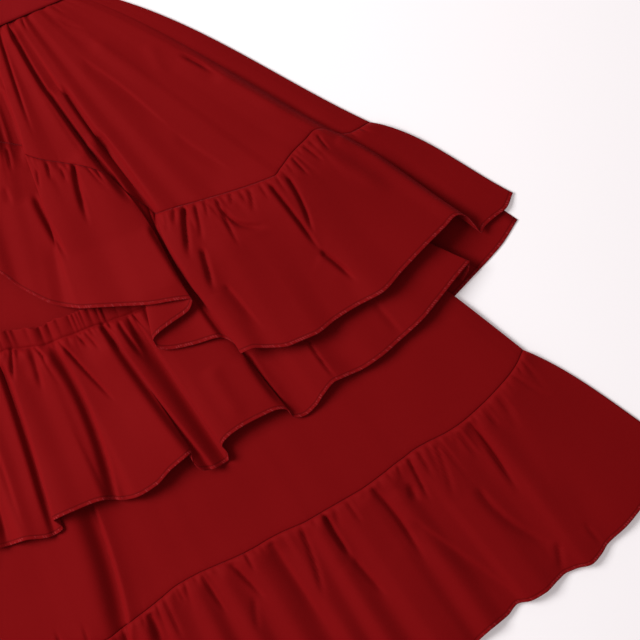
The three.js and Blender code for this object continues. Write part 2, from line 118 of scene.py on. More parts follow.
# A crease's two sides: flank in widths, how many flanks its shoulder fades over, the shoulder's
# height as a share of the crease's, and what is added to that where the cloth can't sink
LEFT_SIDE = {"flank": 1.3, "fades": 4.5, "swell": 0.32, "lack": 0.9}
RIGHT_SIDE = {"flank": 0.8, "fades": 7.0, "swell": 0.12, "lack": 0.4}
LIT_FLANK = 1.6
CREASE_SINKS = 0.95
CREASE_ENDS = (0.12, 0.35)
CREASE_REACH = 10.5
CREASE_POINTS = 13

# Layers of gathers: their spacing and height as shares of those set, and their reach
GATHERS = {
    "ruffle": (1.0, 1.0, 42),
    "ruffle_fine": (0.45, 0.65, 10),
    "panel": (0.6, 0.22, 9),
    "waist": (1.3, 1.0, 18),
    "fall": (1.0, 1.3, 46),
    "fall_fine": (0.5, 0.6, 14),
}

# One gather: how far it strays from its even place and how wide it is, in spacings, then its slant
# and depth. Its length in reaches, and how it widens and fades. The puff that gathers cut into
GATHER = {"strays": 0.42, "width": (0.10, 0.22), "slant": 0.13, "depth": (0.55, 1.0)}
VALLEY = {"least": 0.18, "more": 1.1, "power": 2.2, "widens": 0.6, "fades": 2.5}
PUFF = {"mean": 0.75, "swing": 0.25, "waves": (2.3, 5.1), "rises": 2.6, "reach": 1.3, "fades": 1.5}

# Soft waves of hand-smoothed cloth: height, length, and the lift at which they are whole
TIER_WAVES = (0.5, 90)
FALL_WAVES = (0.4, 80)
WAVE_SIZES = (0.6, 1.6)
WAVES_FROM = 2
WAVE_COUNT = 5

# In the materials: metres of relief, the share by which a thread dips under the next, the dye's
# clouds and slubs, and the hem's edge and stitches, with a painted shade line where the roll begins
# and painted glint spots on the stitches
WEAVE_HEIGHT = 0.00008
STITCH_HEIGHT = 0.0005
EDGE_HEIGHT = 0.0001
WEAVE_DIP = 0.45
CLOUDS = {"scale": 14.0, "detail": 4.0, "roughness": 0.55}
CLOUD_SHARE = 0.7
SLUBS_PER_METRE = (60.0, 1400.0, 1.0)
SLUB_SHARE = 0.3
HEM_EDGE = {"sharpness": 8.0, "line": 1.1, "narrow": 3.2, "darker": 0.4}
STITCH = {"slant": 0.35, "power": 2.0, "glints": 260.0, "contrast": 9.0, "least": 0.05, "seen": 0.6}
BUMP_STRENGTH = 0.6

FLOOR = {"reach": 6.0, "below": 0.0004}
KEY_LIGHT = {"size": 1.4, "distance": 3.0, "rise": math.radians(37), "turn": math.radians(9)}


def table(columns, rows):
    """Rows of numbers as one array for each named column."""
    values = np.array(rows, float)
    return {name: values[:, i] for i, name in enumerate(columns.split())}


TIER = "waist_x waist_lift seam_x seam_drop seam_lift hem_x hem_drop hem_lift"
BENT_TIER = TIER + " panel_bend ruffle_bend"
RUFFLE = "seam_x seam_drop seam_lift hem_x hem_drop hem_lift"
CREASE = "x1 drop1 x2 drop2 x3 drop3 height width floor"

# Overskirt: a row for each fold line from waist through seam to hem, centre to side
OVERSKIRT_FOLDS = table(BENT_TIER, [
    (0, 1.0, 0, 76, 2, 0, 222, 4, 0, 0),
    (24, 2.5, 20, 89, 5, 12, 236, 7, 0, 0),
    (44, 1.0, 40, 103, 2, 24, 256, 4, 0, 0),
    (62, 2.0, 58, 112, 4, 36, 271, 5, 0, 0),
    (76, 1.0, 72, 120, 1.8, 46, 282, 5, 0, 0),
    (86, 0.4, 86.5, 130, 1.2, 57, 290, 3.5, 0, 0),
    (90, 1.2, 83.5, 131.5, 4.8, 64, 294, 5, 0, 0),
    (93, 2.2, 80, 134, 8.4, 71, 298, 7, 0, 0),
    (99, 2.5, 91, 145, 11, 90, 305, 8.5, 0, 0),
    (105, 0.8, 110, 157, 9, 112, 313, 8, -1, 1),
    (109, 2.2, 130, 170, 10, 140, 323, 12, -3, 3),
    (112, 2.5, 139, 177.5, 9, 163, 328.5, 14, -4.5, 6),
    (113.4, 1.5, 144.5, 182.5, 8.6, 177, 334, 13, -5, 8.4),
    (114.6, 0.8, 146.5, 186, 6.8, 170, 342, 10.2, -5, 8),
    (115.7, 0.4, 147.5, 190, 5.3, 149, 347, 8.9, -4.5, 7),
    (116.8, 0.3, 149, 194, 4.8, 132, 351.5, 7.2, -4, 6),
    (117.5, 0.3, 150, 197, 4.4, 125.5, 356, 5.1, -3.5, 5),
    (118.2, 0.3, 152, 201, 4.0, 126, 363, 2.5, -3.5, 3),
    (119.1, 0.3, 155.5, 207, 3.4, 137, 370, 0.6, -3.5, 0),
    (120.2, 0.5, 162, 217, 2.4, 160, 375, 0.8, -4, -3),
    (121.6, 1.2, 171, 231, 0.8, 186, 378, 0.6, -4, -6),
    (123, 2.0, 176, 240, 4, 199, 392, 2.5, -4.5, -9),
    (125, 2.5, 178, 241, 9.5, 201, 401, 8.5, -5, -9.4),
    (129, 2.8, 188, 242, 12, 212, 401, 12, -4, -7),
    (134, 1.0, 203, 243.5, 11, 228, 407, 10, -2, -3),
    (139, 2.5, 220, 246, 12.5, 250, 413, 12, 0, 0),
    (145, 2.8, 245, 249, 10.5, 275, 413, 12, 0, 0),
    (151, 1.5, 275, 252, 11.5, 300, 407, 9, 0, 0),
    (157, 2.5, 298, 253, 12, 325, 403, 9, 0, 0),
    (162, 2.0, 308, 248, 11, 350, 401, 12, 0, 0),
    (168, 1.5, 325, 238, 11, 380, 388, 10, 0, 0),
    (174, 2.0, 342, 231, 13, 410, 375, 11, 0, 0),
    (180, 2.5, 354, 226, 14, 435, 365, 13, 0, 0),
    (183, 2.0, 361, 227.5, 12, 450, 359, 16, 0, 0),
    (186, 1.5, 367, 231, 8.5, 459, 364, 12, 0, 0),
    (188, 1.0, 373, 236, 5, 463.5, 374, 6.5, 0, 0),
    (190, 1.0, 380, 240, 4, 467, 384, 2.4, 0, 0),
    (192, 0.8, 387, 241.5, 4.5, 473, 379.5, 1.8, 0, 0),
    (194, 0.8, 394, 241, 4, 484, 375.5, 3.2, 0, 0),
    (195.8, 0.6, 401, 240, 2.5, 499, 371.5, 2.6, 0, 0),
    (197, 0.3, 408, 239, 0.3, 512, 359.5, 0.3, 0, 0),
])
OVERSKIRT_BOWS = (11.0, 7.0)

# Base skirt: the first rows lie just left of the centre line
BASE_FOLDS = table(TIER, [
    (-12, 0.3, -35, 611, 7, -46, 800, 8),
    (-6, 0.3, -20, 608, 1, -32, 797, 2),
    (0, 0.3, -8, 605, 3, -16, 797, 4),
    (6, 0.3, 4, 602, 7, 0, 799, 9),
    (12, 0.3, 16, 599, 1.5, 15, 795, 2),
    (20, 0.3, 30, 595, 6, 34, 797, 9),
    (30, 0.3, 50, 589, 4, 56, 792, 5),
    (40, 0.3, 66, 587, 7, 80, 795, 10),
    (47, 0.3, 80, 586, 3.5, 96, 790, 4),
    (56, 0.3, 96, 586, 7, 118, 790, 10),
    (64, 0.3, 112, 586, 4, 134, 786, 5),
    (76, 0.3, 132, 585, 7, 158, 786, 10),
    (87, 0.3, 155, 582, 3, 182, 778, 2),
    (95, 0.3, 172, 581, 6, 200, 780, 9),
    (103, 0.3, 188, 581, 4, 214, 774, 5),
    (109, 0.3, 200, 580, 7, 232, 776, 10),
    (117, 0.3, 215, 578, 3, 252, 768, 5),
    (126, 0.3, 236, 575.5, 7, 274, 769, 10),
    (134, 0.3, 256, 573, 6, 294, 762, 8),
    (140, 0.3, 270, 570, 3, 306, 757, 5),
    (146, 0.3, 284, 566.5, 6, 322, 751, 8),
    (152, 0.3, 298, 562.5, 3, 342, 746, 3),
    (157, 0.3, 309, 560, 4, 357, 739, 2),
    (162, 0.3, 320, 557, 6, 370, 741, 6),
    (167, 0.3, 336, 555, 6, 386, 739, 7),
    (172, 0.3, 354, 554, 5, 402, 733, 4),
    (176, 0.3, 368, 552, 4, 414, 729.5, 2),
    (179, 0.3, 380, 549, 4, 424, 729.5, 3),
    (182, 0.3, 392, 545, 7, 438, 731.5, 5.5),
    (184, 0.3, 408, 539, 5, 452, 726, 4.5),
    (186, 0.3, 424, 532, 6, 462, 719, 3.5),
    (187.5, 0.3, 438, 525, 5, 486, 710, 4.5),
    (188.5, 0.3, 450, 517, 3.5, 514, 695, 3.5),
    (189.4, 0.3, 456.5, 511, 1.5, 543, 678, 2),
    (190, 0.3, 460, 508, 0.3, 567, 662, 0.3),
])
BASE_BOWS = (-7.0, 5.0)
BASE_REPEATS_FROM = 45.0
BASE_DRAWN_DOWN = {"most": 21.0, "fades": 110.0, "hem_part": 3}

# Middle ruffle: a row for each fold line from stitch line to hem, left to right
MIDDLE_FOLDS = table(RUFFLE, [
    (-72, 314, 3, -97, 485, 7),
    (-62, 313, 0.8, -86, 487, 2),
    (-52, 312, 3.5, -69, 488, 8),
    (-40, 311, 2, -53, 493, 4),
    (-30, 310, 0.6, -43, 495, 1),
    (-24, 309, 0.8, -30, 492, 1.5),
    (-24, 308, 3.5, -35, 481, 8),
    (-14, 307, 5, -20, 480, 11),
    (2, 312, 3, 2, 480, 9),
    (14, 315, 4.5, 16, 481, 9),
    (24, 318, 2, 28, 486, 4),
    (32, 318, 1.5, 37, 490, 4),
    (42, 318, 4.5, 51, 492, 9),
    (56, 319, 4, 72, 489, 11),
    (70, 319, 5, 92, 480, 12),
    (81, 320, 4.5, 108, 475, 12.5),
    (87, 321, 4, 117.5, 472, 11.5),
    (91, 321, 3, 115, 481, 10),
    (97, 321, 3, 119, 492, 9.2),
    (105, 322, 3, 133, 496, 6.2),
    (112, 322, 3, 147, 494, 4.4),
    (114.5, 322, 3, 149, 488, 5.5),
    (117, 322, 3, 147, 479, 8.5),
    (127, 322, 5, 160, 471, 12),
    (146, 322, 4, 185, 467, 12),
    (165, 321, 4.5, 208, 466, 11),
    (176, 320, 3, 221, 471, 8.5),
    (182, 320, 1, 223, 480, 4),
    (189, 319, 0.8, 234, 483, 2),
    (200, 318, 2, 247, 479, 4),
    (212, 317, 4, 261, 470, 8),
    (223, 315, 3, 277, 463, 9),
    (240, 311, 2, 300, 463, 6),
    (260, 305, 4, 325, 459, 8),
    (280, 299, 2, 350, 451, 7),
    (298, 292, 4, 378, 441, 9),
    (311, 286, 2, 405, 427, 7),
    (320, 281.5, 3.2, 428, 414.5, 8),
    (326, 278, 3.4, 445, 406, 7.5),
    (329.5, 276, 2.4, 441, 413, 4.4),
    (332, 274.5, 0.3, 431, 421, 0.4),
])
MIDDLE_REPEATS_FROM = {"hem_x": 109.0, "seam_x": 80.0}

# Back tiers, pressed flat, from centre to side
OVERSKIRT_BACK = table(TIER, [
    (0, 0, 0, 292, 0, 0, 446, 0),
    (70, 0, 130, 287, 0, 160, 444, 0),
    (130, 0, 245, 272, 0, 300, 438, 0),
    (170, 0, 340, 254, 0, 415, 428, 0),
    (190, 0, 390, 243, 0, 478, 405, 0),
    (197, 0, 408, 239, 0, 506, 386, 0),
])
MIDDLE_BACK = table(RUFFLE, [
    (0, 320, 0, 0, 480, 0),
    (110, 318, 0, 150, 476, 0),
    (210, 308, 0, 290, 462, 0),
    (290, 290, 0, 398, 439, 0),
    (331, 274.5, 0, 452, 417, 0),
])
BASE_BACK = table(TIER, [
    (0, 0, 0, 590, 0, 0, 782, 0),
    (70, 0, 140, 584, 0, 175, 774, 0),
    (130, 0, 270, 568, 0, 330, 742, 0),
    (168, 0, 370, 549, 0, 440, 712, 0),
    (185, 0, 430, 526, 0, 512, 690, 0),
    (190, 0, 460, 508, 0, 565, 661, 0),
])

# Creases, each from its start through its middle to its end. The cloth sinks there by height where
# it lies high enough, with flanks about one width wide, and floor is half the width of the level
# bottom. A negative height is a ridge that high instead.
OVERSKIRT_CREASES = table(CREASE, [
    (115, 10, 119.5, 60, 128, 106, 3.8, 1.7, 0.4),
    (125, 84, 134, 130, 147, 186, 3.4, 1.8, 0.5),
    (140, 86, 149, 130, 160, 176, 3.8, 2.4, 0.8),
    (153, 142, 166, 192, 182, 268, 5.2, 6.0, 2.0),
    (139, 150, 150, 186, 160, 226, 4.4, 3.2, 0.4),
    (167, 246, 174, 290, 181, 332, 3.6, 2.2, 1.6),
    (181, 326, 187, 358, 197, 396, 3.0, 2.4, 1.4),
    (104, 10, 99, 50, 95, 128, 2.2, 1.8, 0),
    (79, 60, 78, 106, 72, 150, 5.4, 5.6, 3.0),
    (113, 9, 114, 20, 112, 32, 1.3, 1.4, 0),
    (130, 8, 129, 14, 130, 21, 1.2, 1.4, 0),
    (165, 26, 172, 33, 181, 40, 1.2, 2.2, 0),
    (168, 72, 194, 112, 226, 178, 1.3, 6.5, 0),
    (225, 176, 243, 204, 263, 232, 0.9, 6.0, 0),
    (262, 106, 273, 118, 284, 135, 2.6, 2.0, 0.4),
    (284, 134, 312, 168, 345, 212, -2.2, 8.0, 0),
    (235, 82, 236, 98, 239, 118, -0.9, 6.0, 0),
    (186, 60, 200, 84, 232, 128, -1.4, 9.0, 0),
    (72, 174, 74, 210, 79, 250, 3.8, 2.6, 0.6),
    (70, 62, 67, 100, 62, 142, 3.4, 3.0, 0.8),
    (122, 163, 116, 186, 111, 228, 3.8, 2.2, 0.4),
    (85, 155, 83, 163, 80, 172, 1.6, 1.3, 0),
    (108, 162, 108, 169, 107, 177, 1.6, 1.3, 0),
    (97, 152, 95, 162, 94, 170, 1.4, 1.3, 0),
    (65, 122, 63, 134, 60, 146, 1.6, 1.6, 0),
    (48, 158, 48, 166, 47, 176, 1.4, 4.0, 0),
    (206, 245, 198, 268, 190, 298, 3.8, 2.0, 0.5),
    (216, 247, 213, 268, 208, 284, 2.2, 1.8, 0),
    (206, 290, 203, 312, 200, 335, 3.2, 2.0, 0.6),
    (238, 250, 238, 272, 241, 307, 2.4, 1.4, 0),
    (240, 262, 250, 284, 278, 296, 3.4, 1.7, 0.4),
    (252, 251, 251, 257, 249, 264, 1.8, 1.2, 0),
    (271, 254, 270, 264, 266, 280, 2.2, 1.5, 0),
    (291, 256, 302, 296, 313, 342, 3.8, 1.8, 0.4),
    (312, 339, 322, 355, 334, 382, 3.4, 2.2, 0.5),
    (310, 257, 314, 288, 312, 323, 3.0, 1.8, 0.3),
    (213, 333, 219, 352, 231, 392, 1.6, 4.5, 0),
    (226, 247, 225, 256, 222, 266, 1.6, 1.3, 0),
    (262, 252, 263, 259, 263, 268, 1.4, 1.2, 0),
    (283, 253, 284, 262, 286, 272, 1.6, 1.3, 0),
    (322, 242, 326, 253, 331, 266, 1.8, 1.5, 0),
    (337, 234, 343, 246, 350, 258, 1.5, 1.8, 0),
    (186, 242, 184, 252, 180, 264, 1.6, 1.4, 0),
    (196, 243, 193, 251, 189, 260, 1.4, 1.3, 0),
    (345, 236, 372, 276, 402, 314, -2.2, 8.0, 0),
    (372, 240, 392, 262, 428, 304, -1.8, 7.0, 0),
    (355, 232, 356, 240, 360, 252, 1.6, 1.4, 0),
])
MIDDLE_CREASES = table(CREASE, [
    (-23, 314, -30, 400, -47, 560, 5.0, 2.6, 1.6),
    (-8, 306, -13, 322, -20, 342, 2.6, 1.5, 0.2),
    (9, 312, 8, 334, 4, 362, 2.4, 2.4, 0.4),
    (13, 314, 17, 324, 23, 335, 1.9, 1.3, 0),
    (27, 316, 37, 410, 18, 540, 5.0, 3.6, 1.6),
    (40, 324, 54, 364, 68, 398, 2.2, 1.5, 0),
    (57, 320, 60, 328, 65, 338, 1.7, 1.2, 0),
    (66, 320, 70, 333, 74, 344, 1.4, 1.3, 0),
    (84, 318, 87, 336, 92, 356, 3.0, 1.8, 0.4),
    (100, 324, 104, 344, 110, 370, 2.6, 1.8, 0.4),
    (87, 322, 107, 420, 146, 556, 4.8, 3.6, 0.8),
    (114, 322, 135, 440, 160, 568, 6.4, 8.0, 0.8),
    (206, 402, 211, 436, 223, 474, 3.0, 2.6, 0.4),
    (266, 413, 270, 436, 278, 464, 2.2, 1.2, 0),
    (-80, 440, -84, 462, -88, 486, 2.0, 3.0, 0),
    (-60, 330, -62, 400, -68, 484, 2.2, 4.0, 0),
    (165, 400, 170, 436, 178, 468, -1.4, 9.0, 0),
    (340, 400, 348, 424, 356, 450, 1.2, 4.0, 0),
    (134, 325, 138, 338, 142, 352, 1.4, 1.6, 0),
])
BASE_CREASES = table(CREASE, [
    (214, 579, 217, 608, 223, 634, 3.6, 2.0, 0.5),
    (223, 632, 231, 655, 241, 684, 2.0, 3.4, 0),
    (266, 574, 279, 608, 290, 672, 3.0, 2.4, 0.4),
    (304, 588, 304, 596, 304, 606, 2.2, 3.4, 1.0),
    (312, 560, 314, 584, 316, 612, 2.4, 1.8, 0),
    (290, 618, 326, 676, 363, 737, 1.8, 8.0, 0),
    (368, 556, 373, 572, 379, 592, 2.2, 1.6, 0),
    (375, 553, 380, 570, 385, 590, 1.7, 1.4, 0),
    (380, 549, 392, 588, 402, 644, 3.6, 2.0, 0.6),
    (365, 613, 382, 660, 418, 702, 2.2, 5.0, 0),
    (418, 698, 414, 712, 410, 728, 2.0, 2.6, 0),
    (420, 535, 423, 556, 426, 582, 1.9, 1.6, 0),
    (450, 692, 453, 704, 457, 718, 1.0, 2.2, 0),
    (325, 558, 326, 573, 328, 592, 1.4, 1.6, 0),
    (343, 556, 342, 588, 339, 617, 1.8, 1.8, 0),
    (78, 587, 81, 610, 87, 638, 1.8, 1.6, 0),
    (108, 587, 117, 610, 128, 637, 2.6, 1.8, 0.2),
    (126, 586, 127, 596, 128, 607, 1.5, 1.4, 0),
    (154, 585, 160, 618, 175, 702, 1.8, 6.0, 0),
    (187, 582, 186, 622, 180, 662, 2.2, 2.4, 0),
    (50, 590, 51, 598, 53, 608, 1.4, 1.4, 0),
    (15, 602, 15, 620, 14, 638, 3.4, 2.4, 0.8),
    (35, 598, 35, 620, 36, 642, 1.5, 1.6, 0),
    (118, 630, 112, 646, 108, 664, 1.2, 2.4, 0),
    (401, 543, 404, 556, 409, 570, 1.6, 1.6, 0),
    (240, 577, 242, 590, 245, 604, 1.6, 1.4, 0),
    (1, 460, -4, 556, -28, 670, 7.5, 9.0, 2.0),
])


def mix(a, b, v):
    """The way from a to b by the share v."""
    return a + (b - a) * v


def eased(v):
    """From 0 to 1 as v goes from 0 to 1, level at both ends and beyond them."""
    v = np.clip(v, 0, 1)
    return v * v * (3 - 2 * v)


def bell(v):
    """A bell curve that is 1 at 0."""
    return np.exp(-(v**2))


def arch(v):
    """An arch over 0 to 1 that is 1 high at a third of the way."""
    return 6.75 * v * (1 - v) ** 2


def through_rows(places, values, at):
    """A monotone cubic through values at increasing places, read at many places at once: each
    inner slope is the harmonic mean of its two sides, or level at a peak or a hollow."""
    width = np.diff(places)
    slope = np.diff(values) / width
    before, after = slope[:-1], slope[1:]
    same_way = before * after > 0
    total = np.where(same_way, before + after, 1.0)
    inner = np.where(same_way, 2 * before * after / total, 0.0)
    tangent = np.concatenate([slope[:1], inner, slope[-1:]])
    i = np.clip(np.searchsorted(places, at, side="right") - 1, 0, len(width) - 1)
    s = (at - places[i]) / width[i]
    bend = tangent[i] * s * (1 - s) ** 2 + tangent[i + 1] * s * s * (s - 1)
    return mix(values[i], values[i + 1], eased(s)) + width[i] * bend


def rows_of(data, keep):
    """The rows of a table for which keep is true."""
    return {name: values[keep] for name, values in data.items()}


def joined(*parts):
    """Several tables with the same columns, one after the other."""
    return {name: np.concatenate([part[name] for part in parts]) for name in parts[0]}


def mirrored(data):
    """A table's rows on the other side of the centre line, outermost first."""
    flipped = {name: -v if name.endswith(("_x", "_bend")) else v for name, v in data.items()}
    return rows_of(flipped, slice(None, None, -1))


def symmetric(data):
    """A table that starts on the centre line, carried on to the other side."""
    return joined(mirrored(rows_of(data, slice(1, None))), data)


def creases_of(data, repeats_from=0.0):
    """All creases, and those past repeats_from again on the other side."""
    other = rows_of(data, data["x1"] > repeats_from)
    return joined(data, {name: -v if name[0] == "x" else v for name, v in other.items()})


def base_rows():
    """The base's rows, with the right side repeated on the left, drawn down a little there."""
    left = mirrored(rows_of(BASE_FOLDS, BASE_FOLDS["seam_x"] > BASE_REPEATS_FROM))
    inward = left["seam_x"] - BASE_FOLDS["seam_x"][0]
    down = BASE_DRAWN_DOWN["most"] * np.exp(inward / BASE_DRAWN_DOWN["fades"])
    left["seam_drop"] = left["seam_drop"] + down
    left["hem_drop"] = left["hem_drop"] + down / BASE_DRAWN_DOWN["hem_part"]
    return joined(left, BASE_FOLDS)


def middle_rows():
    """The middle ruffle's rows, with the right side repeated past the last row that shows."""
    past = [MIDDLE_FOLDS[name] > value for name, value in MIDDLE_REPEATS_FROM.items()]
    return joined(mirrored(rows_of(MIDDLE_FOLDS, past[0] & past[1])), MIDDLE_FOLDS)


class FoldLines:
    """Curves along a tier, over the distance walked along its hem from fold to fold."""

    def __init__(self, rows, steps):
        moves = np.stack([np.diff(rows[name]) for name in ("hem_x", "hem_drop", "hem_lift")])
        self.places = np.concatenate([[0.0], np.cumsum(np.sqrt((moves**2).sum(axis=0)))])
        self.rows = rows
        walk = np.linspace(0, self.places[-1], HEM_WALK_POINTS)
        shown = through_rows(self.places, rows["hem_x"], walk) > SHOWN_FROM
        self.stations = uneven(walk, np.where(shown, steps["fine"], steps["coarse"]))

    def __getitem__(self, name):
        if name not in self.rows:
            return np.zeros((len(self.stations), 1))
        return through_rows(self.places, self.rows[name], self.stations)[:, None]


def uneven(walk, spacing):
    """Stations along a walk whose distance apart follows a spacing given all along it."""
    count = np.concatenate([[0.0], np.cumsum(np.diff(walk) / spacing[1:])])
    return np.interp(np.linspace(0, count[-1], int(count[-1]) + 1), count, walk)


def down_ruffle(depth, steps):
    """Places down a ruffle from 0 to 1: close together below the seam and over the rolled edge."""
    walk = np.linspace(0, depth, WALK_POINTS)
    spacing = mix(STEP["ruffle"], steps["ruffle"], eased(walk / WIDENS["ruffle"]))
    return uneven(walk, np.where(walk > depth - ROLL_STEPS_FROM, STEP["roll"], spacing)) / depth


def down_panel(depth, steps):
    """Places down a panel from 0 to 1: close together at the waist and above the seam, and far
    apart down to the depth to which another tier covers it."""
    walk = np.linspace(0, depth, WALK_POINTS)
    near_waist = mix(STEP["waist"], steps["panel"], eased(walk / WIDENS["waist"]))
    near_seam = mix(STEP["seam"], steps["panel"], eased((depth - walk) / WIDENS["seam"]))
    spacing = np.minimum(near_waist, near_seam)
    return uneven(walk, np.where(walk < steps["covered"], STEP["covered"], spacing)) / depth


def swept(values, reach, axis, summary):
    """Each value replaced by a summary of those up to reach cells away along one axis."""
    padded = np.pad(values, [(reach, reach) if a == axis else (0, 0) for a in range(2)], mode="edge")
    count = values.shape[axis]
    layers = [np.take(padded, range(k, k + count), axis=axis) for k in range(2 * reach + 1)]
    return summary(np.stack(layers), axis=0)


def spread(values, reach):
    """Each cell raised to the highest one near it."""
    return swept(swept(values, reach, 0, np.max), reach, 1, np.max)


def softened(values, reach):
    """Each cell replaced by the mean of those near it."""
    return swept(swept(values, reach, 0, np.mean), reach, 1, np.mean)


def evened(values):
    """A column of values with each one replaced by the mean of those near it."""
    return swept(values, min(EVENED_OVER["most"], len(values) // EVENED_OVER["share"]), 0, np.mean)


class Pile:
    """How high the cloth laid so far reaches, in square cells over the table."""

    cell = 3.0
    left, top = -640.0, -90.0
    shape = (430, 330)

    def __init__(self):
        self.height = np.zeros(self.shape)

    def cells(self, points):
        """The column and line of the cell nearest to each point."""
        column = np.rint((points[..., 0] - self.left) / self.cell).astype(int)
        line = np.rint((points[..., 1] - self.top) / self.cell).astype(int)
        return column.ravel(), line.ravel()

    def add(self, upper):
        """Takes in the upper face of a shell, and the points halfway between its points."""
        for points in with_midpoints(upper):
            np.maximum.at(self.height, self.cells(points), points[..., 2].ravel())

    def read(self, field, x, drop):
        """A field of the pile between its cells, by straight lines each way."""
        column = (x - self.left) / self.cell
        line = (drop - self.top) / self.cell
        i = np.floor(column).astype(int)
        j = np.floor(line).astype(int)
        near = mix(field[i, j], field[i + 1, j], column - i)
        far = mix(field[i, j + 1], field[i + 1, j + 1], column - i)
        return mix(near, far, line - j)


PILE = Pile()


def with_midpoints(points):
    """A grid of points, and the grids halfway between them across and down."""
    return [points, (points[1:] + points[:-1]) / 2, (points[:, 1:] + points[:, :-1]) / 2]


def unit(vectors):
    """Vectors shortened or lengthened to 1."""
    return vectors / np.maximum(np.linalg.norm(vectors, axis=-1, keepdims=True), 1e-9)


def unit_steps(points, axis):
    """At each point, the sum of the unit steps before and after it along one axis."""
    step = unit(np.diff(points, axis=axis))
    first, last = np.take(step, [0], axis=axis), np.take(step, [-1], axis=axis)
    return np.concatenate([first, step], axis=axis) + np.concatenate([step, last], axis=axis)


def upward(points):
    """The cloth's own upward direction: across it times down it, with drop pointing down."""
    return unit(np.cross(unit_steps(points, 0), unit_steps(points, 1)))


def settled(x, drop, lift, half_wall):
    """The cloth's middle surface: the pile, spread and softened, plus its own lift. The bed is
    raised and softened again wherever the shell's underside would still touch the pile."""
    solid = spread(PILE.height, 1)
    bed = softened(spread(PILE.height, CLOTH_BRIDGES), CLOTH_SOFTENS)
    bed = np.where(bed > 0, bed + LAYER_GAP, 0)
    for _ in range(SETTLE_ROUNDS):
        z = PILE.read(bed, x, drop) + lift + half_wall
        points = np.stack([x, drop, z], axis=-1)
        under = points - upward(points) * half_wall
        need = np.zeros(Pile.shape)
        deepest = 0.0
        for look in with_midpoints(under):
            cells = PILE.cells(look)
            lack = np.where(solid[cells] > 0, solid[cells] + LAYER_GAP - look[..., 2].ravel(), 0)
            np.maximum.at(need, cells, lack)
            deepest = max(deepest, lack.max())
        if deepest < SETTLED_WITHIN:
            break
        bed = bed + softened(spread(need, RAISE["spreads"]), RAISE["softens"])
    return points


def beside(line, x, drop):
    """For places beside a line of points: how far off they are, how far along the line they are,
    from 0 to 1, and whether they are on its left."""
    best = np.full(x.shape, np.inf)
    along = np.zeros(x.shape)
    left = np.zeros(x.shape, bool)
    for m, (start, step) in enumerate(zip(line, np.diff(line, axis=0))):
        off_x, off_drop = x - start[0], drop - start[1]
        s = np.clip((off_x * step[0] + off_drop * step[1]) / (step @ step), 0, 1)
        far = np.hypot(off_x - s * step[0], off_drop - s * step[1])
        nearer = far < best
        best = np.where(nearer, far, best)
        along = np.where(nearer, (m + s) / (len(line) - 1), along)
        left = np.where(nearer, off_x * step[1] - off_drop * step[0] < 0, left)
    return best, along, left


def creased(x, drop, level, creases):
    """How much the creases lift the cloth. A crease is a quadratic curve through its start, its
    middle and its end. The cloth sinks there by its height, as far as its own level has room for
    it, and what is lacking is added beside it, where it also swells a little. Its left flank is
    broad and its right flank narrow, LIT_FLANK at most. The height fades at both ends."""
    lift = np.zeros(x.shape)
    t = np.linspace(0, 1, CREASE_POINTS)[:, None]
    for x1, drop1, x2, drop2, x3, drop3, height, width, floor in zip(*creases.values()):
        height *= bpy.context.scene.skirt_sizes.crease_share
        start, middle, end = np.array([x1, drop1]), np.array([x2, drop2]), np.array([x3, drop3])
        lead = 2 * middle - (start + end) / 2
        line = start * (1 - t) ** 2 + lead * (2 * t * (1 - t)) + end * t**2
        margin = CREASE_REACH * width + floor
        low, high = line.min(axis=0) - margin, line.max(axis=0) + margin
        near = (x > low[0]) & (x < high[0]) & (drop > low[1]) & (drop < high[1])
        if not near.any():
            continue
        off, along, left = beside(line, x[near], drop[near])
        ends = eased(along / CREASE_ENDS[0]) * eased((1 - along) / CREASE_ENDS[1])
        if height < 0:
            lift[near] -= height * bell(off / width) * ends
            continue
        side = {name: np.where(left, LEFT_SIDE[name], RIGHT_SIDE[name]) for name in LEFT_SIDE}
        flank = np.where(left, side["flank"] * width, np.minimum(side["flank"] * width, LIT_FLANK))
        r = np.maximum(off - floor * ends, 0) / flank
        shoulder = (1 - bell(r)) * bell(r / side["fades"])
        room = np.clip(level[near] / height, 0, 1)
        swell = side["swell"] + side["lack"] * (1 - room)
        lift[near] += height * (swell * shoulder - CREASE_SINKS * room * bell(r)) * ends
    return lift


def gathers(kind, along, away, seed, share=1.0):
    """Cloth gathered into a seam puffs up beside it and sinks again over its reach. Narrow valleys
    cut the puff at uneven places: each has its own width, length and slant, and most are short."""
    sizes = bpy.context.scene.skirt_sizes
    apart, high, reach = GATHERS[kind]
    spacing, height = sizes.gather_spacing * apart, sizes.gather_height * high * share
    chance = np.random.default_rng(seed)
    length = along.max()
    count = int(length / spacing)
    strays = chance.uniform(-GATHER["strays"], GATHER["strays"], count)
    centres = (np.arange(count) + 0.5 + strays) * length / count
    widths = spacing * chance.uniform(*GATHER["width"], count)
    short = chance.uniform(0, 1, count) ** VALLEY["power"]
    lengths_down = reach * (VALLEY["least"] + VALLEY["more"] * short)
    slants = chance.normal(0, GATHER["slant"], count)
    depths = chance.uniform(*GATHER["depth"], count)
    quick, slow = (along / (wave * spacing) for wave in PUFF["waves"])
    swell = PUFF["mean"] + PUFF["swing"] * np.sin(quick + 2.0 * np.sin(slow))
    fading = np.exp(-((away / (PUFF["reach"] * reach)) ** PUFF["fades"]))
    puff = height * swell * (1 - np.exp(-away / PUFF["rises"])) * fading
    valley = np.zeros(puff.shape)
    for centre, width, far, slant, deep in zip(centres, widths, lengths_down, slants, depths):
        near = np.abs(along[:, 0] - centre) < 4 * spacing
        if near.any():
            wide = width * (1 + VALLEY["widens"] * away[near] / far)
            r = (along[near] - centre - slant * away[near]) / wide
            cut = deep * bell(r) * np.exp(-((away[near] / far) ** VALLEY["fades"]))
            valley[near] = np.maximum(valley[near], cut)
    return puff * (1 - valley)


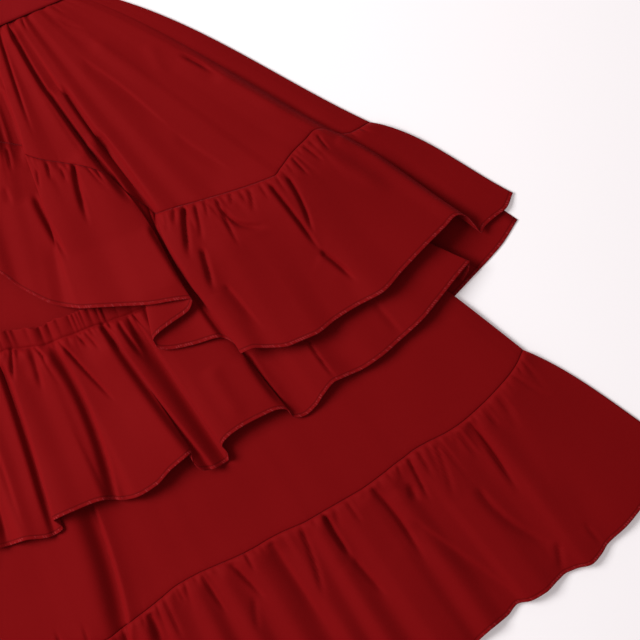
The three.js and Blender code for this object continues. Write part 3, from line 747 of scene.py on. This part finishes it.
def waves(x, drop, lift, seed, form):
    """Broad soft unevenness of hand-smoothed cloth: a few long waves in uneven directions, lower
    where the cloth lies low."""
    height, length = form
    chance = np.random.default_rng(seed)
    total = np.zeros(x.shape)
    for _ in range(WAVE_COUNT):
        turn = chance.uniform(0, math.pi)
        size = length * chance.uniform(*WAVE_SIZES)
        phase = chance.uniform(0, 2 * math.pi)
        total += np.sin((x * math.cos(turn) + drop * math.sin(turn)) * 2 * math.pi / size + phase)
    return height * total / WAVE_COUNT * np.clip(lift / WAVES_FROM, 0, 1)


def frilled(along, seed, spacing):
    """A wave from 0 to 1 whose crests are wider than its troughs, with crests at uneven places."""
    chance = np.random.default_rng(seed)
    count = int(along.max() / spacing)
    places = np.concatenate([[0.0], np.cumsum(chance.uniform(*CRESTS["apart"], count))])
    places *= along.max() / places[-1]
    turn = np.interp(along, places, np.arange(count + 1))
    tall = np.interp(along, places, chance.uniform(*CRESTS["tall"], count + 1))
    return tall * np.abs(np.sin(math.pi * turn)) ** CRESTS["power"]


def bowed(start, end, v, bow):
    """Points between two lines of points, pushed outwards by an arch. The outermost fold line
    takes all of the bow, and those nearer the middle take none."""
    across, down = end[0] - start[0], end[1] - start[1]
    length = np.hypot(across, down)
    outward = np.abs(end[0]) / np.abs(end[0]).max()
    push = bow * np.maximum(0, (outward - BOWED_FROM) / (1 - BOWED_FROM)) ** 2 * arch(v)
    x = mix(start[0], end[0], v) + np.sign(start[0] + end[0]) * push * down / length
    drop = mix(start[1], end[1], v) - push * np.abs(across) / length
    return x, drop


def lengths(points, axis):
    """Distance walked from the start of each line of points along one axis."""
    step = np.linalg.norm(np.diff(points, axis=axis), axis=-1)
    start = np.zeros_like(np.take(step, [0], axis=axis))
    return np.concatenate([start, np.cumsum(step, axis=axis)], axis=axis)


def new_piece(name, points, polygons, smooth_count, maps):
    """An object from points in the skirt's millimetres and four-cornered faces, the first
    smooth_count of them smooth, with one UV map in metres for each of maps."""
    x, drop, z = points.reshape(-1, 3).T
    places = np.stack([x, WAIST_Y - drop, z], axis=-1) * MM
    mesh = bpy.data.meshes.new(name)
    mesh.vertices.add(len(places))
    mesh.vertices.foreach_set("co", places.ravel())
    mesh.loops.add(polygons.size)
    mesh.loops.foreach_set("vertex_index", polygons.ravel())
    mesh.polygons.add(len(polygons))
    mesh.polygons.foreach_set("loop_start", np.arange(len(polygons)) * 4)
    mesh.polygons.foreach_set("use_smooth", np.arange(len(polygons)) < smooth_count)
    mesh.update(calc_edges=True)
    for layer, values in maps.items():
        mesh.uv_layers.new(name=layer)
        mesh.uv_layers[layer].data.foreach_set("uv", (values * MM)[polygons.ravel()].ravel())
    mesh.validate()
    piece = bpy.data.objects.new(name, mesh)
    bpy.context.scene.collection.objects.link(piece)
    return piece


def shell(name, points, thickness):
    """A closed thin shell around a grid of points: two faces, half the thickness from the grid,
    and a rim between them. Its UV map "cloth" holds metres along the cloth and down it, and "edge"
    holds metres along the hem and up from it."""
    offset = upward(points) * (thickness[..., None] / 2)
    across, down = points.shape[:2]
    number = np.arange(across * down).reshape(across, down)
    under = number + across * down

    def quads(grid):
        return np.stack([grid[:-1, :-1], grid[:-1, 1:], grid[1:, 1:], grid[1:, :-1]], axis=-1)

    def strip(top, bottom):
        return np.stack([top[:-1], top[1:], bottom[1:], bottom[:-1]], axis=-1)

    faces = [quads(number).reshape(-1, 4), quads(under).reshape(-1, 4)[:, ::-1]]
    rims = [
        strip(number[:, 0], under[:, 0]),
        strip(number[::-1, -1], under[::-1, -1]),
        strip(number[0, ::-1], under[0, ::-1]),
        strip(number[-1], under[-1]),
    ]
    far_down, along = lengths(points, 1), lengths(points, 0)
    halfway = along[:, [down // 2]] + np.zeros_like(far_down)
    hem = along[:, [-1]] + np.zeros_like(far_down)
    maps = {
        "cloth": np.stack([halfway, far_down], axis=-1),
        "edge": np.stack([hem, far_down[:, [-1]] - far_down], axis=-1),
    }
    both = {layer: np.concatenate([grid.reshape(-1, 2)] * 2) for layer, grid in maps.items()}
    sides = np.stack([points + offset, points - offset])
    smooth_count = 2 * (across - 1) * (down - 1)
    return new_piece(name, sides, np.concatenate(faces + rims), smooth_count, both)


def hemmed_shell(name, points, cloth):
    """A shell whose edge is a round roll, added to the cloth's thickness."""
    half = ROLL["width"] / 2
    from_hem = lengths(points[:, ::-1], 1)[:, ::-1]
    roll = np.sqrt(np.clip(1 - ((from_hem - half) / half) ** 2, 0, 1))
    return shell(name, points, cloth + ROLL["height"] * roll)


def laid(x, drop, lift):
    """The cloth's middle surface, settled on the pile and added to it, and its thickness."""
    cloth = bpy.context.scene.skirt_sizes.cloth_thickness / MM
    points = settled(x, drop, lift, cloth / 2)
    PILE.add(points + upward(points) * (cloth / 2))
    return points, cloth


def distances(x, drop, lift, at):
    """Distances over a tier: along its line number at, along its first line, down it, and below
    that line."""
    flat = np.stack([x, drop, lift], axis=-1)
    down = lengths(flat, 1)
    return lengths(flat[:, [at]], 0), lengths(flat[:, [0]], 0), down, down - down[:, [at]]


def new_tier(names, rows, bows, steps, creases, look):
    """A tier that hangs from the waist: a panel and the ruffle on its lower edge, laid on the
    pile. The fold lines run from waist to seam and from seam to hem, bent sideways where the
    tables say so, with their lifts eased between. A calm panel has evened lifts at its seam.
    Creases, gathers and soft waves add lift."""
    top_drop = BAND["lower_edge"] + SEAM_GAP
    lines = FoldLines(rows, steps)
    waist = (lines["waist_x"], top_drop + 0 * lines["waist_x"])
    seam = (lines["seam_x"], lines["seam_drop"])
    hem = (lines["hem_x"], lines["hem_drop"])
    v = down_panel(np.median(seam[1]) - top_drop, steps)[None, :]
    w = down_ruffle(RUFFLE_DEPTH, steps)[None, 1:]
    panel, ruffle = bowed(waist, seam, v, bows[0]), bowed(seam, hem, w, bows[1])
    bends = lines["panel_bend"] * 4 * v * (1 - v), lines["ruffle_bend"] * arch(w)
    x = np.concatenate([panel[0] + bends[0], ruffle[0] + bends[1]], axis=1)
    drop = np.concatenate([panel[1], ruffle[1]], axis=1)
    level = mix(lines["seam_lift"], evened(lines["seam_lift"]), look["calm"])
    start = mix(level, lines["seam_lift"], eased(w / CALM_OVER))
    lifts = mix(lines["waist_lift"], level, eased(v)), mix(start, lines["hem_lift"], eased(w))
    lift = np.concatenate(lifts, axis=1)

    seam_line = v.shape[1] - 1
    along_seam, along_waist, down, from_seam = distances(x, drop, lift, seam_line)
    on_ruffle, on_panel, below = np.maximum(from_seam, 0), np.maximum(-from_seam, 0), from_seam > 0
    share, seed = look["relief"], look["seed"]
    added = below * gathers("ruffle", along_seam, on_ruffle, seed)
    added += below * gathers("ruffle_fine", along_seam, on_ruffle, seed + 1)
    added += ~below * gathers("panel", along_seam, on_panel, seed + 2)
    added += gathers("waist", along_waist, down, seed + 3, look["waist"])
    added += waves(x, drop, lift, seed + 4, TIER_WAVES)
    lift = lift + share * added + creased(x, drop, lift, creases)
    trough, reach = TIER_SEAM
    lift = np.maximum(lift - trough * share * bell(from_seam / reach), LEAST_LIFT)

    points, cloth = laid(x, drop, lift)
    panel = points[:, : seam_line + 1]
    last, following = points[:, [seam_line]], points[:, [seam_line + 1]]
    start = last + SHOWN_GAP * unit(following - last)
    ruffle = np.concatenate([start, points[:, seam_line + 1 :]], axis=1)
    made = shell(names[0], panel, np.full(panel.shape[:2], cloth))
    return made, hemmed_shell(names[1], ruffle, cloth)


def new_headed(name, rows, steps, creases, look):
    """The middle ruffle: one strip, gathered on its stitch line, with a frilled heading above it
    and its fall below. The heading's frill is a quick wave whose height grows away from the
    stitches."""
    lines = FoldLines(rows, steps)
    seam = (lines["seam_x"], lines["seam_drop"])
    hem = (lines["hem_x"], lines["hem_drop"])
    low = lines["seam_lift"] - HEADING["drawn_down"]
    up = np.linspace(1, 0, HEADING["lines"])[None, :-1]
    w = down_ruffle(FALL_DEPTH, steps)[None, :]
    x = np.concatenate([seam[0] + 0 * up, mix(seam[0], hem[0], w)], axis=1)
    drop = np.concatenate([seam[1] - up * HEADING["depth"], mix(seam[1], hem[1], w)], axis=1)
    lifts = low + up * HEADING["lift"], mix(low, lines["hem_lift"], eased(w))
    lift = np.concatenate(lifts, axis=1)

    along, _, _, from_seam = distances(x, drop, lift, up.shape[1])
    fall, above, below = np.maximum(from_seam, 0), np.maximum(-from_seam, 0), from_seam > 0
    share, seed = look["relief"], look["seed"]
    sizes = bpy.context.scene.skirt_sizes
    added = below * gathers("fall", along, fall, seed)
    added += below * gathers("fall_fine", along, fall, seed + 1)
    frill = frilled(along, seed + 2, sizes.gather_spacing * FRILL["spacing"])
    grows = mix(FRILL["least"], 1, eased(above / HEADING["depth"]))
    grows = grows * np.clip(above / FRILL["grows_over"], 0, 1)
    added += ~below * FRILL["height"] * sizes.gather_height * frill * grows
    added += waves(x, drop, lift, seed + 4, FALL_WAVES)
    lift = lift + share * added + creased(x, drop, lift, creases)
    trough, reach = STITCH_LINE
    lift = lift - trough * share * bell(from_seam / reach)
    drop = drop + share * ~below * (above / HEADING["depth"]) * FRILL["edge"] * (frill - 0.5)
    return hemmed_shell(name, *laid(x, drop, lift))


def new_waistband(name):
    """The band as a tube: its outline goes round a flat ring with round ends, inside and out, and
    is carried down the band. The ring's upper side dips a little between the gathers below it."""
    t = np.linspace(0, 2 * math.pi, BAND_GRID["round"] + 1)[:-1]
    middle = BAND["height"] / 2
    lower, upper = BAND["lower_edge"] - BAND["depth"], BAND["lower_edge"]
    first, second = BAND_DIP["waves"]
    down = np.linspace(0, 1, BAND_GRID["down"])[:, None]
    edge = np.minimum(down, 1 - down) * (upper - lower)
    soft = BAND_EDGE["pinch"] * np.exp(-edge / BAND_EDGE["reach"])
    rings = []
    for inset, sign in ((0.0, 1), (BAND["wall"], -1)):
        radius = middle - inset
        side = np.sign(np.cos(t)) * np.abs(np.cos(t)) ** BAND_ROUND["x"]
        x = (BAND["half_width"] - radius - inset) * side + radius * np.cos(t)
        z = middle + radius * np.sign(np.sin(t)) * np.abs(np.sin(t)) ** BAND_ROUND["z"]
        dip = BAND_DIP["height"] * np.sin(x / first) * np.sin(x / second + 1.0) * down**2
        pinch = sign * soft
        ring_x = x - np.sign(x) * pinch
        ring_z = np.clip(z - np.sign(z - middle) * pinch + np.where(z > middle, dip, 0), 0, None)
        ring_drop = mix(lower, upper, down) + 0 * x
        rings.append(np.stack([ring_x, ring_drop, ring_z], axis=-1)[::sign])
    points = np.concatenate(rings)
    number = np.arange(points.shape[0] * points.shape[1]).reshape(points.shape[:2])
    below = np.roll(number, -1, axis=0)
    corners = [number, below, np.roll(below, -1, axis=1), np.roll(number, -1, axis=1)]
    polygons = np.stack(corners, axis=-1).reshape(-1, 4)
    along = lengths(points.transpose(1, 0, 2), 0).T
    grid = np.stack([along, lengths(points, 0)], axis=-1).reshape(-1, 2)
    return new_piece(name, points, polygons, len(polygons), {"cloth": grid, "edge": grid})


def reckon(tree, operation, *values, clamp=False):
    """A Math node whose inputs are numbers or signals. Returns its output as a signal."""
    node = tree.nodes.new("ShaderNodeMath")
    node.operation = operation
    node.use_clamp = clamp
    for place, value in zip(node.inputs, values):
        if isinstance(value, Signal):
            tree.links.new(value.socket, place)
        else:
            place.default_value = value
    return Signal(tree, node.outputs[0])


class Signal:
    """A socket of a node tree that can be reckoned with like a number. Each step is a Math node."""

    def __init__(self, tree, socket):
        self.tree, self.socket = tree, socket

    def step(self, operation, *others, clamp=False):
        return reckon(self.tree, operation, self, *others, clamp=clamp)

    def __abs__(self):
        return self.step("ABSOLUTE")

    def __add__(self, other):
        return self.step("ADD", other)

    def __mul__(self, other):
        return self.step("MULTIPLY", other)

    def __mod__(self, other):
        return self.step("MODULO", other)

    def __pow__(self, other):
        return self.step("POWER", other)

    def __rsub__(self, other):
        return reckon(self.tree, "SUBTRACT", other, self)

    def __sub__(self, other):
        return self.step("SUBTRACT", other)

    def __truediv__(self, other):
        return self.step("DIVIDE", other)


def shader_group(name, uv_map, inputs, outputs):
    """A new node group with named number sockets. Returns its tree, the UV map's two directions
    and whole vector, its inputs by name, and its last node."""
    tree = bpy.data.node_groups.new(name, "ShaderNodeTree")
    for label, default in inputs.items():
        socket = tree.interface.new_socket(
            name=label, in_out="INPUT", socket_type="NodeSocketFloat"
        )
        socket.default_value = default
    for label in outputs:
        tree.interface.new_socket(name=label, in_out="OUTPUT", socket_type="NodeSocketFloat")
    enter = tree.nodes.new("NodeGroupInput")
    uv = tree.nodes.new("ShaderNodeUVMap")
    uv.uv_map = uv_map
    split = tree.nodes.new("ShaderNodeSeparateXYZ")
    tree.links.new(uv.outputs[0], split.inputs[0])
    ways = [Signal(tree, split.outputs[i]) for i in range(2)]
    given = [Signal(tree, enter.outputs[label]) for label in inputs]
    return tree, ways, uv.outputs[0], given, tree.nodes.new("NodeGroupOutput")


def noise(tree, place, scale, detail, roughness=0.5):
    """A noise texture read at a place. Returns its value as a signal."""
    node = tree.nodes.new("ShaderNodeTexNoise")
    node.inputs["Scale"].default_value = scale
    node.inputs["Detail"].default_value = detail
    node.inputs["Roughness"].default_value = roughness
    tree.links.new(place, node.inputs["Vector"])
    return Signal(tree, node.outputs["Fac"])


def make_weave_group():
    """Plain weave: warp and weft ribs that pass over and under in turn. Height is the larger of a
    rib along u and a rib along v, each under the other in every second cell. Tone is a soft
    cloudiness over the cloth, with fine slubs along the weft."""
    tree, (u, v), uv, (thread, cloud), leave = shader_group(
        "fine_plain_weave", "cloth", {"Thread": 0.0004, "Cloud": 0.05}, ("Height", "Tone")
    )
    u, v = u / thread, v / thread
    rib_u, rib_v = (abs((way * math.pi).step("SINE")) for way in (u, v))
    turn = abs(u.step("FLOOR") + v.step("FLOOR")) % 2.0
    over_u = rib_u * (turn * WEAVE_DIP + (1 - WEAVE_DIP))
    over_v = rib_v * (1.0 - turn * WEAVE_DIP)
    tree.links.new(over_u.step("MAXIMUM", over_v).socket, leave.inputs["Height"])
    place = tree.nodes.new("ShaderNodeTexCoord").outputs["Object"]
    slub_map = tree.nodes.new("ShaderNodeMapping")
    slub_map.inputs["Scale"].default_value = SLUBS_PER_METRE
    tree.links.new(uv, slub_map.inputs["Vector"])
    clouds = noise(tree, place, **CLOUDS)
    slubs = noise(tree, slub_map.outputs[0], scale=1.0, detail=2.0)
    tone = (clouds * CLOUD_SHARE + slubs * SLUB_SHARE - 0.5) * (cloud * 2.0) + 1.0
    tree.links.new(tone.socket, leave.inputs["Tone"])


def make_overlock_group():
    """Overlock stitches over a rolled edge. Mask is 1 within Width of the hem. The stitch output is
    a slanted wave along the edge, whose period is the stitch length, sharpened into threads that are
    scaled by noise into painted glint spots here and there. The groove shade output is a narrow
    dark line painted where the roll begins, a painted shade for the groove there."""
    tree, (u, v), uv, (stitch, width), leave = shader_group(
        "overlocked_edge",
        "edge",
        {"Stitch length": 0.0026, "Width": 0.0036},
        ("Mask", "Stitch and painted glint", "Painted groove shade"),
    )
    inside = v / width
    mask = reckon(tree, "SUBTRACT", 1.0, abs(inside) ** HEM_EDGE["sharpness"], clamp=True)
    # Painted shade: a narrow dark line where the roll begins, standing for the shade in its groove
    off = abs(inside - HEM_EDGE["line"]) * HEM_EDGE["narrow"]
    line = reckon(tree, "SUBTRACT", 1.0, off, clamp=True)
    turn = (u + v * STITCH["slant"]) / stitch * (2 * math.pi)
    thread = (turn.step("SINE") * 0.5 + 0.5) ** STITCH["power"]
    # Painted glint: noise picks the spots where the threads are shown as catching the light
    glint_noise = noise(tree, uv, scale=STITCH["glints"], detail=1.0) - 0.5
    painted_glint = glint_noise.step("MULTIPLY", STITCH["contrast"], clamp=True) + STITCH["least"]
    shade = 1.0 - line * HEM_EDGE["darker"]
    shown = {"Mask": mask, "Stitch and painted glint": thread * painted_glint * mask, "Painted groove shade": shade}
    for label, signal in shown.items():
        tree.links.new(signal.socket, leave.inputs[label])


def placed(tree, group):
    """A node group placed in a tree. Returns its outputs by name, as signals."""
    node = tree.nodes.new("ShaderNodeGroup")
    node.node_tree = bpy.data.node_groups[group]
    return {output.name: Signal(tree, output) for output in node.outputs}


def mixed(tree, blend, amount, first, second):
    """Two colours mixed, each of them and the amount a value or a socket. Returns its colour."""
    node = tree.nodes.new("ShaderNodeMix")
    node.data_type, node.blend_type = "RGBA", blend
    for place, value in ((0, amount), (6, first), (7, second)):
        if isinstance(value, bpy.types.NodeSocket):
            tree.links.new(value, node.inputs[place])
        else:
            node.inputs[place].default_value = value
    return node.outputs[2]


def new_material(name, finish):
    """A new material and its surface shader, with the shader's own inputs set."""
    material = bpy.data.materials.new(name)
    material.use_nodes = True
    surface = material.node_tree.nodes["Principled BSDF"]
    for label, value in finish.items():
        surface.inputs[label].default_value = value
    return material, surface


def crepe(name, colour, hemmed):
    """Fine smooth cloth: the dye's colour with a little cloud, a painted shade line where the hem's
    roll begins, lighter threads on the hem mixed in at painted glint spots, a weave too fine to see
    from a step away, and a soft sheen at grazing angles."""
    look = bpy.context.scene.skirt_look
    finish = {
        "Roughness": look.roughness,
        "Specular IOR Level": look.specular,
        "Sheen Weight": look.sheen,
        "Sheen Roughness": 0.45,
        "Sheen Tint": (*look.sheen_tint, 1.0),
    }
    material, surface = new_material(name, finish)
    tree = material.node_tree
    weave = placed(tree, "fine_plain_weave")
    tone, height = weave["Tone"], weave["Height"] * WEAVE_HEIGHT
    if hemmed:
        lock = placed(tree, "overlocked_edge")
        # Painted shade: the tone is made dark along the line where the hem's roll begins
        tone = tone * lock["Painted groove shade"]
    grey = tree.nodes.new("ShaderNodeCombineColor")
    for channel in grey.inputs:
        tree.links.new(tone.socket, channel)
    shade = mixed(tree, "MULTIPLY", 1.0, (*colour, 1.0), grey.outputs[0])
    if hemmed:
        # Painted glint: the lighter thread colour is mixed in where the stitches are shown catching
        # the light
        amount = lock["Stitch and painted glint"] * STITCH["seen"]
        shade = mixed(tree, "MIX", amount.socket, shade, (*look.thread, 1.0))
        height = height + (lock["Stitch and painted glint"] * STITCH_HEIGHT + lock["Mask"] * EDGE_HEIGHT)
    tree.links.new(shade, surface.inputs["Base Color"])
    bump = tree.nodes.new("ShaderNodeBump")
    bump.inputs["Strength"].default_value = BUMP_STRENGTH
    bump.inputs["Distance"].default_value = 1.0
    tree.links.new(height.socket, bump.inputs["Height"])
    tree.links.new(bump.outputs[0], surface.inputs["Normal"])


def dress(piece, node, material):
    """Gives a piece its material and its place in the frame, as the cloth it was cut from."""
    piece.data.materials.append(bpy.data.materials[material])
    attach(piece, "root")
    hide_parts(node)


def spacings(context, fine, coarse, ruffle, panel=0.0, covered=0.0):
    """Millimetres between points: along the shown and the hidden half, and down each part."""
    share = 1 / context.scene.skirt_sizes.fineness
    steps = {"fine": fine, "coarse": coarse, "panel": panel, "ruffle": ruffle}
    return {name: step * share for name, step in steps.items()} | {"covered": covered}


class SkirtSizes(PropertyGroup):
    """Sizes of the cloth and its gathers."""

    cloth_thickness: FloatProperty(
        name="Cloth thickness",
        description="Thickness of the shown cloth",
        default=0.0007,
        unit="LENGTH",
    )
    gather_spacing: FloatProperty(
        name="Gather spacing", description="Millimetres between gathers along a seam", default=11.0
    )
    gather_height: FloatProperty(
        name="Gather height",
        description="Millimetres that a gather stands up beside its seam",
        default=2.8,
    )
    crease_share: FloatProperty(
        name="Crease share",
        description="Multiplies the height of every crease",
        default=1.2,
        min=0,
        max=3,
    )
    fineness: FloatProperty(
        name="Fineness",
        description="Divides the distances between points",
        default=1.0,
        min=0.3,
        max=1.5,
    )


class SkirtLook(PropertyGroup):
    """Colours and finish of the cloth and the floor."""

    dye: FloatVectorProperty(
        name="Dye",
        description="Colour of the crepe",
        default=(0.168, 0.0026, 0.0034),
        subtype="COLOR",
    )
    band_dye: FloatVectorProperty(
        name="Band dye",
        description="Colour of the doubled waistband",
        default=(0.180, 0.0034, 0.0048),
        subtype="COLOR",
    )
    # The threads' colour is lighter than the dye and shows mostly at the painted glint spots on the
    # hem
    thread: FloatVectorProperty(
        name="Thread",
        description="Colour of the hem's threads",
        default=(0.33, 0.03, 0.035),
        subtype="COLOR",
    )
    roughness: FloatProperty(
        name="Roughness", description="Roughness of the crepe", default=0.62, min=0, max=1
    )
    specular: FloatProperty(
        name="Specular", description="Strength of its reflections", default=0.02, min=0, max=1
    )
    sheen: FloatProperty(
        name="Sheen", description="Soft sheen at grazing angles", default=0.12, min=0, max=1
    )
    sheen_tint: FloatVectorProperty(
        name="Sheen tint",
        description="Colour of the sheen",
        default=(1.0, 0.12, 0.15),
        subtype="COLOR",
    )
    floor: FloatVectorProperty(
        name="Floor", description="Colour of the floor", default=(0.75, 0.72, 0.73), subtype="COLOR"
    )
    # Painted light: the floor glows though it is no lamp, lifting the shadows cast on it, and the
    # glow's pink tint stands for light bounced from the red cloth
    floor_painted_glow: FloatVectorProperty(
        name="Floor painted glow",
        description="Painted light that the floor gives off",
        default=(0.22, 0.19, 0.195),
        subtype="COLOR",
    )


class StudioSettings(PropertyGroup):
    """Camera and light."""

    lens: FloatProperty(name="Lens", description="Focal length in millimetres", default=100.0)
    view_width: FloatProperty(
        name="View width",
        description="Width of cloth that fills the frame",
        default=0.64,
        unit="LENGTH",
    )
    turn: FloatProperty(
        name="Turn",
        description="How far the skirt is turned in the frame",
        default=math.radians(23),
        subtype="ANGLE",
    )
    aim_x: FloatProperty(
        name="Aim x",
        description="Millimetres right of the centre line at the frame's middle",
        default=284.9,
    )
    aim_drop: FloatProperty(
        name="Aim drop",
        description="Millimetres below the waist line at the frame's middle",
        default=401.2,
    )
    key_power: FloatProperty(
        name="Key power", description="Watts of the large soft light", default=116.0
    )
    sky: FloatProperty(
        name="Sky", description="Strength of the light from all round", default=0.39
    )
    seed: IntProperty(name="Seed", description="Start of the uneven gathers", default=7)


class SKIRT_OT_materials(Operator):
    """Make the cloth's shader groups and materials."""

    bl_idname = "skirt.materials"
    bl_label = "Make cloth materials"

    def execute(self, context):
        look = context.scene.skirt_look
        make_weave_group()
        make_overlock_group()
        crepe("crepe_plain", look.dye, hemmed=False)
        crepe("crepe_hemmed", look.dye, hemmed=True)
        crepe("crepe_band", look.band_dye, hemmed=False)
        return {"FINISHED"}


class SKIRT_OT_back(Operator):
    """Lay the back tiers flat on the floor."""

    bl_idname = "skirt.back"
    bl_label = "Lay back tiers"

    def execute(self, context):
        steps = spacings(context, fine=9.0, coarse=12.0, panel=14.0, ruffle=8.0)
        none = rows_of(OVERSKIRT_CREASES, slice(0, 0))
        look = {"seed": context.scene.skirt_studio.seed, "relief": 0.12, "waist": 0.1, "calm": 0}
        names = ("overskirt_back_cloth", "overskirt_ruffle_back_cloth")
        panel, ruffle = new_tier(names, symmetric(OVERSKIRT_BACK), OVERSKIRT_BOWS, steps, none, look)
        dress(panel, "overskirt_back", "crepe_plain")
        dress(ruffle, "overskirt_ruffle_back", "crepe_hemmed")
        middle = new_headed("middle_ruffle_back_cloth", symmetric(MIDDLE_BACK), steps, none, look)
        dress(middle, "middle_ruffle_back", "crepe_hemmed")
        names = ("base_back_cloth", "base_ruffle_back_cloth")
        panel, ruffle = new_tier(names, symmetric(BASE_BACK), BASE_BOWS, steps, none, look)
        dress(panel, "base_back", "crepe_plain")
        dress(ruffle, "base_ruffle_back", "crepe_hemmed")
        return {"FINISHED"}


class SKIRT_OT_base(Operator):
    """Lay the base panel and its hem ruffle on the back."""

    bl_idname = "skirt.base"
    bl_label = "Lay base front"

    def execute(self, context):
        steps = spacings(context, fine=2.4, coarse=5.0, panel=5.2, ruffle=3.0, covered=210.0)
        creases = creases_of(BASE_CREASES, repeats_from=45)
        seed = context.scene.skirt_studio.seed + 10
        look = {"seed": seed, "relief": 1.0, "waist": 0.1, "calm": 1}
        names = ("base_front_cloth", "base_ruffle_front_cloth")
        panel, ruffle = new_tier(names, base_rows(), BASE_BOWS, steps, creases, look)
        dress(panel, "base_front", "crepe_plain")
        dress(ruffle, "base_ruffle_front", "crepe_hemmed")
        return {"FINISHED"}


class SKIRT_OT_middle(Operator):
    """Lay the headed middle ruffle on the base panel."""

    bl_idname = "skirt.middle"
    bl_label = "Lay middle ruffle"

    def execute(self, context):
        steps = spacings(context, fine=1.9, coarse=5.0, ruffle=3.0)
        creases = creases_of(MIDDLE_CREASES, repeats_from=80)
        look = {"seed": context.scene.skirt_studio.seed + 20, "relief": 1.0}
        ruffle = new_headed("middle_ruffle_front_cloth", middle_rows(), steps, creases, look)
        dress(ruffle, "middle_ruffle_front", "crepe_hemmed")
        return {"FINISHED"}


class SKIRT_OT_overskirt(Operator):
    """Lay the swagged overskirt and its ruffle on top."""

    bl_idname = "skirt.overskirt"
    bl_label = "Lay overskirt front"

    def execute(self, context):
        steps = spacings(context, fine=1.7, coarse=4.5, panel=4.2, ruffle=2.8)
        creases = creases_of(OVERSKIRT_CREASES)
        seed = context.scene.skirt_studio.seed + 30
        look = {"seed": seed, "relief": 1.0, "waist": 0.35, "calm": 0}
        names = ("overskirt_front_cloth", "overskirt_ruffle_front_cloth")
        rows = symmetric(OVERSKIRT_FOLDS)
        panel, ruffle = new_tier(names, rows, OVERSKIRT_BOWS, steps, creases, look)
        dress(panel, "overskirt_front", "crepe_plain")
        dress(ruffle, "overskirt_ruffle_front", "crepe_hemmed")
        return {"FINISHED"}


class SKIRT_OT_waistband(Operator):
    """Make the waistband, a flattened ring of doubled cloth."""

    bl_idname = "skirt.waistband"
    bl_label = "Make waistband"

    def execute(self, context):
        piece = new_waistband("waistband_cloth")
        dress(piece, "waistband", "crepe_band")
        return {"FINISHED"}


class SKIRT_OT_stage(Operator):
    """Set the floor, the lights and the camera."""

    bl_idname = "skirt.stage"
    bl_label = "Set stage"

    def execute(self, context):
        scene = context.scene
        studio, look = scene.skirt_studio, scene.skirt_look
        aim_x, aim_y = studio.aim_x * MM, (WAIST_Y - studio.aim_drop) * MM

        reach, below = FLOOR["reach"], FLOOR["below"]
        corners = [(-reach, -reach), (reach, -reach), (reach, reach), (-reach, reach)]
        mesh = bpy.data.meshes.new("floor")
        mesh.from_pydata([(*corner, -below) for corner in corners], [], [(0, 1, 2, 3)])
        floor = bpy.data.objects.new("floor", mesh)
        scene.collection.objects.link(floor)
        finish = {
            "Roughness": 0.9,
            "Specular IOR Level": 0.1,
            "Base Color": (*look.floor, 1.0),
            # Painted light: the floor's glow lifts the shadows on it, tinted pink for light bounced
            # from the cloth
            "Emission Color": (*look.floor_painted_glow, 1.0),
            "Emission Strength": 1.0,
        }
        floor.data.materials.append(new_material("pale_floor", finish)[0])

        world = bpy.data.worlds.new("studio")
        world.use_nodes = True
        sky = world.node_tree.nodes["Background"]
        sky.inputs["Color"].default_value = (1.0, 1.0, 1.0, 1.0)
        sky.inputs["Strength"].default_value = studio.sky
        scene.world = world

        light = bpy.data.lights.new("key", "AREA")
        light.shape = "SQUARE"
        light.size = KEY_LIGHT["size"]
        light.energy = studio.key_power
        key = bpy.data.objects.new("key", light)
        scene.collection.objects.link(key)
        left = math.pi - studio.turn - KEY_LIGHT["turn"]
        rise, distance = KEY_LIGHT["rise"], KEY_LIGHT["distance"]
        out = distance * math.cos(rise)
        key.location = (
            aim_x + out * math.cos(left),
            aim_y + out * math.sin(left),
            distance * math.sin(rise),
        )
        key.rotation_euler = (math.pi / 2 - rise, 0, left + math.pi / 2)

        camera_data = bpy.data.cameras.new("camera")
        camera_data.lens = studio.lens
        camera_data.sensor_width = 36.0
        camera_data.clip_end = 20.0
        camera = bpy.data.objects.new("camera", camera_data)
        scene.collection.objects.link(camera)
        camera.location = (aim_x, aim_y, studio.view_width * studio.lens / camera_data.sensor_width)
        camera.rotation_euler = (0, 0, -studio.turn)
        scene.camera = camera
        scene.view_settings.view_transform = "Standard"
        scene.view_settings.look = "None"
        return {"FINISHED"}


OPERATORS = (
    SKIRT_OT_materials,
    SKIRT_OT_back,
    SKIRT_OT_base,
    SKIRT_OT_middle,
    SKIRT_OT_overskirt,
    SKIRT_OT_waistband,
    SKIRT_OT_stage,
)


class SKIRT_PT_sidebar(Panel):
    """The skirt's tools and settings."""

    bl_label = "Layered skirt"
    bl_idname = "SKIRT_PT_sidebar"
    bl_space_type = "VIEW_3D"
    bl_region_type = "UI"
    bl_category = "Skirt"

    def draw(self, context):
        scene = context.scene
        for group in (scene.skirt_sizes, scene.skirt_look, scene.skirt_studio):
            for name in group.__annotations__:
                self.layout.prop(group, name)
        for operator in OPERATORS:
            self.layout.operator(operator.bl_idname)


CLASSES = (SkirtSizes, SkirtLook, StudioSettings, *OPERATORS, SKIRT_PT_sidebar)


def register():
    for each in CLASSES:
        bpy.utils.register_class(each)
    bpy.types.Scene.skirt_sizes = PointerProperty(type=SkirtSizes)
    bpy.types.Scene.skirt_look = PointerProperty(type=SkirtLook)
    bpy.types.Scene.skirt_studio = PointerProperty(type=StudioSettings)


def unregister():
    del bpy.types.Scene.skirt_studio
    del bpy.types.Scene.skirt_look
    del bpy.types.Scene.skirt_sizes
    for each in reversed(CLASSES):
        bpy.utils.unregister_class(each)


def main():
    register()
    bpy.ops.skirt.materials()
    bpy.ops.skirt.back()
    bpy.ops.skirt.base()
    bpy.ops.skirt.middle()
    bpy.ops.skirt.overskirt()
    bpy.ops.skirt.waistband()
    bpy.ops.skirt.stage()


if __name__ == "__main__":
    main()
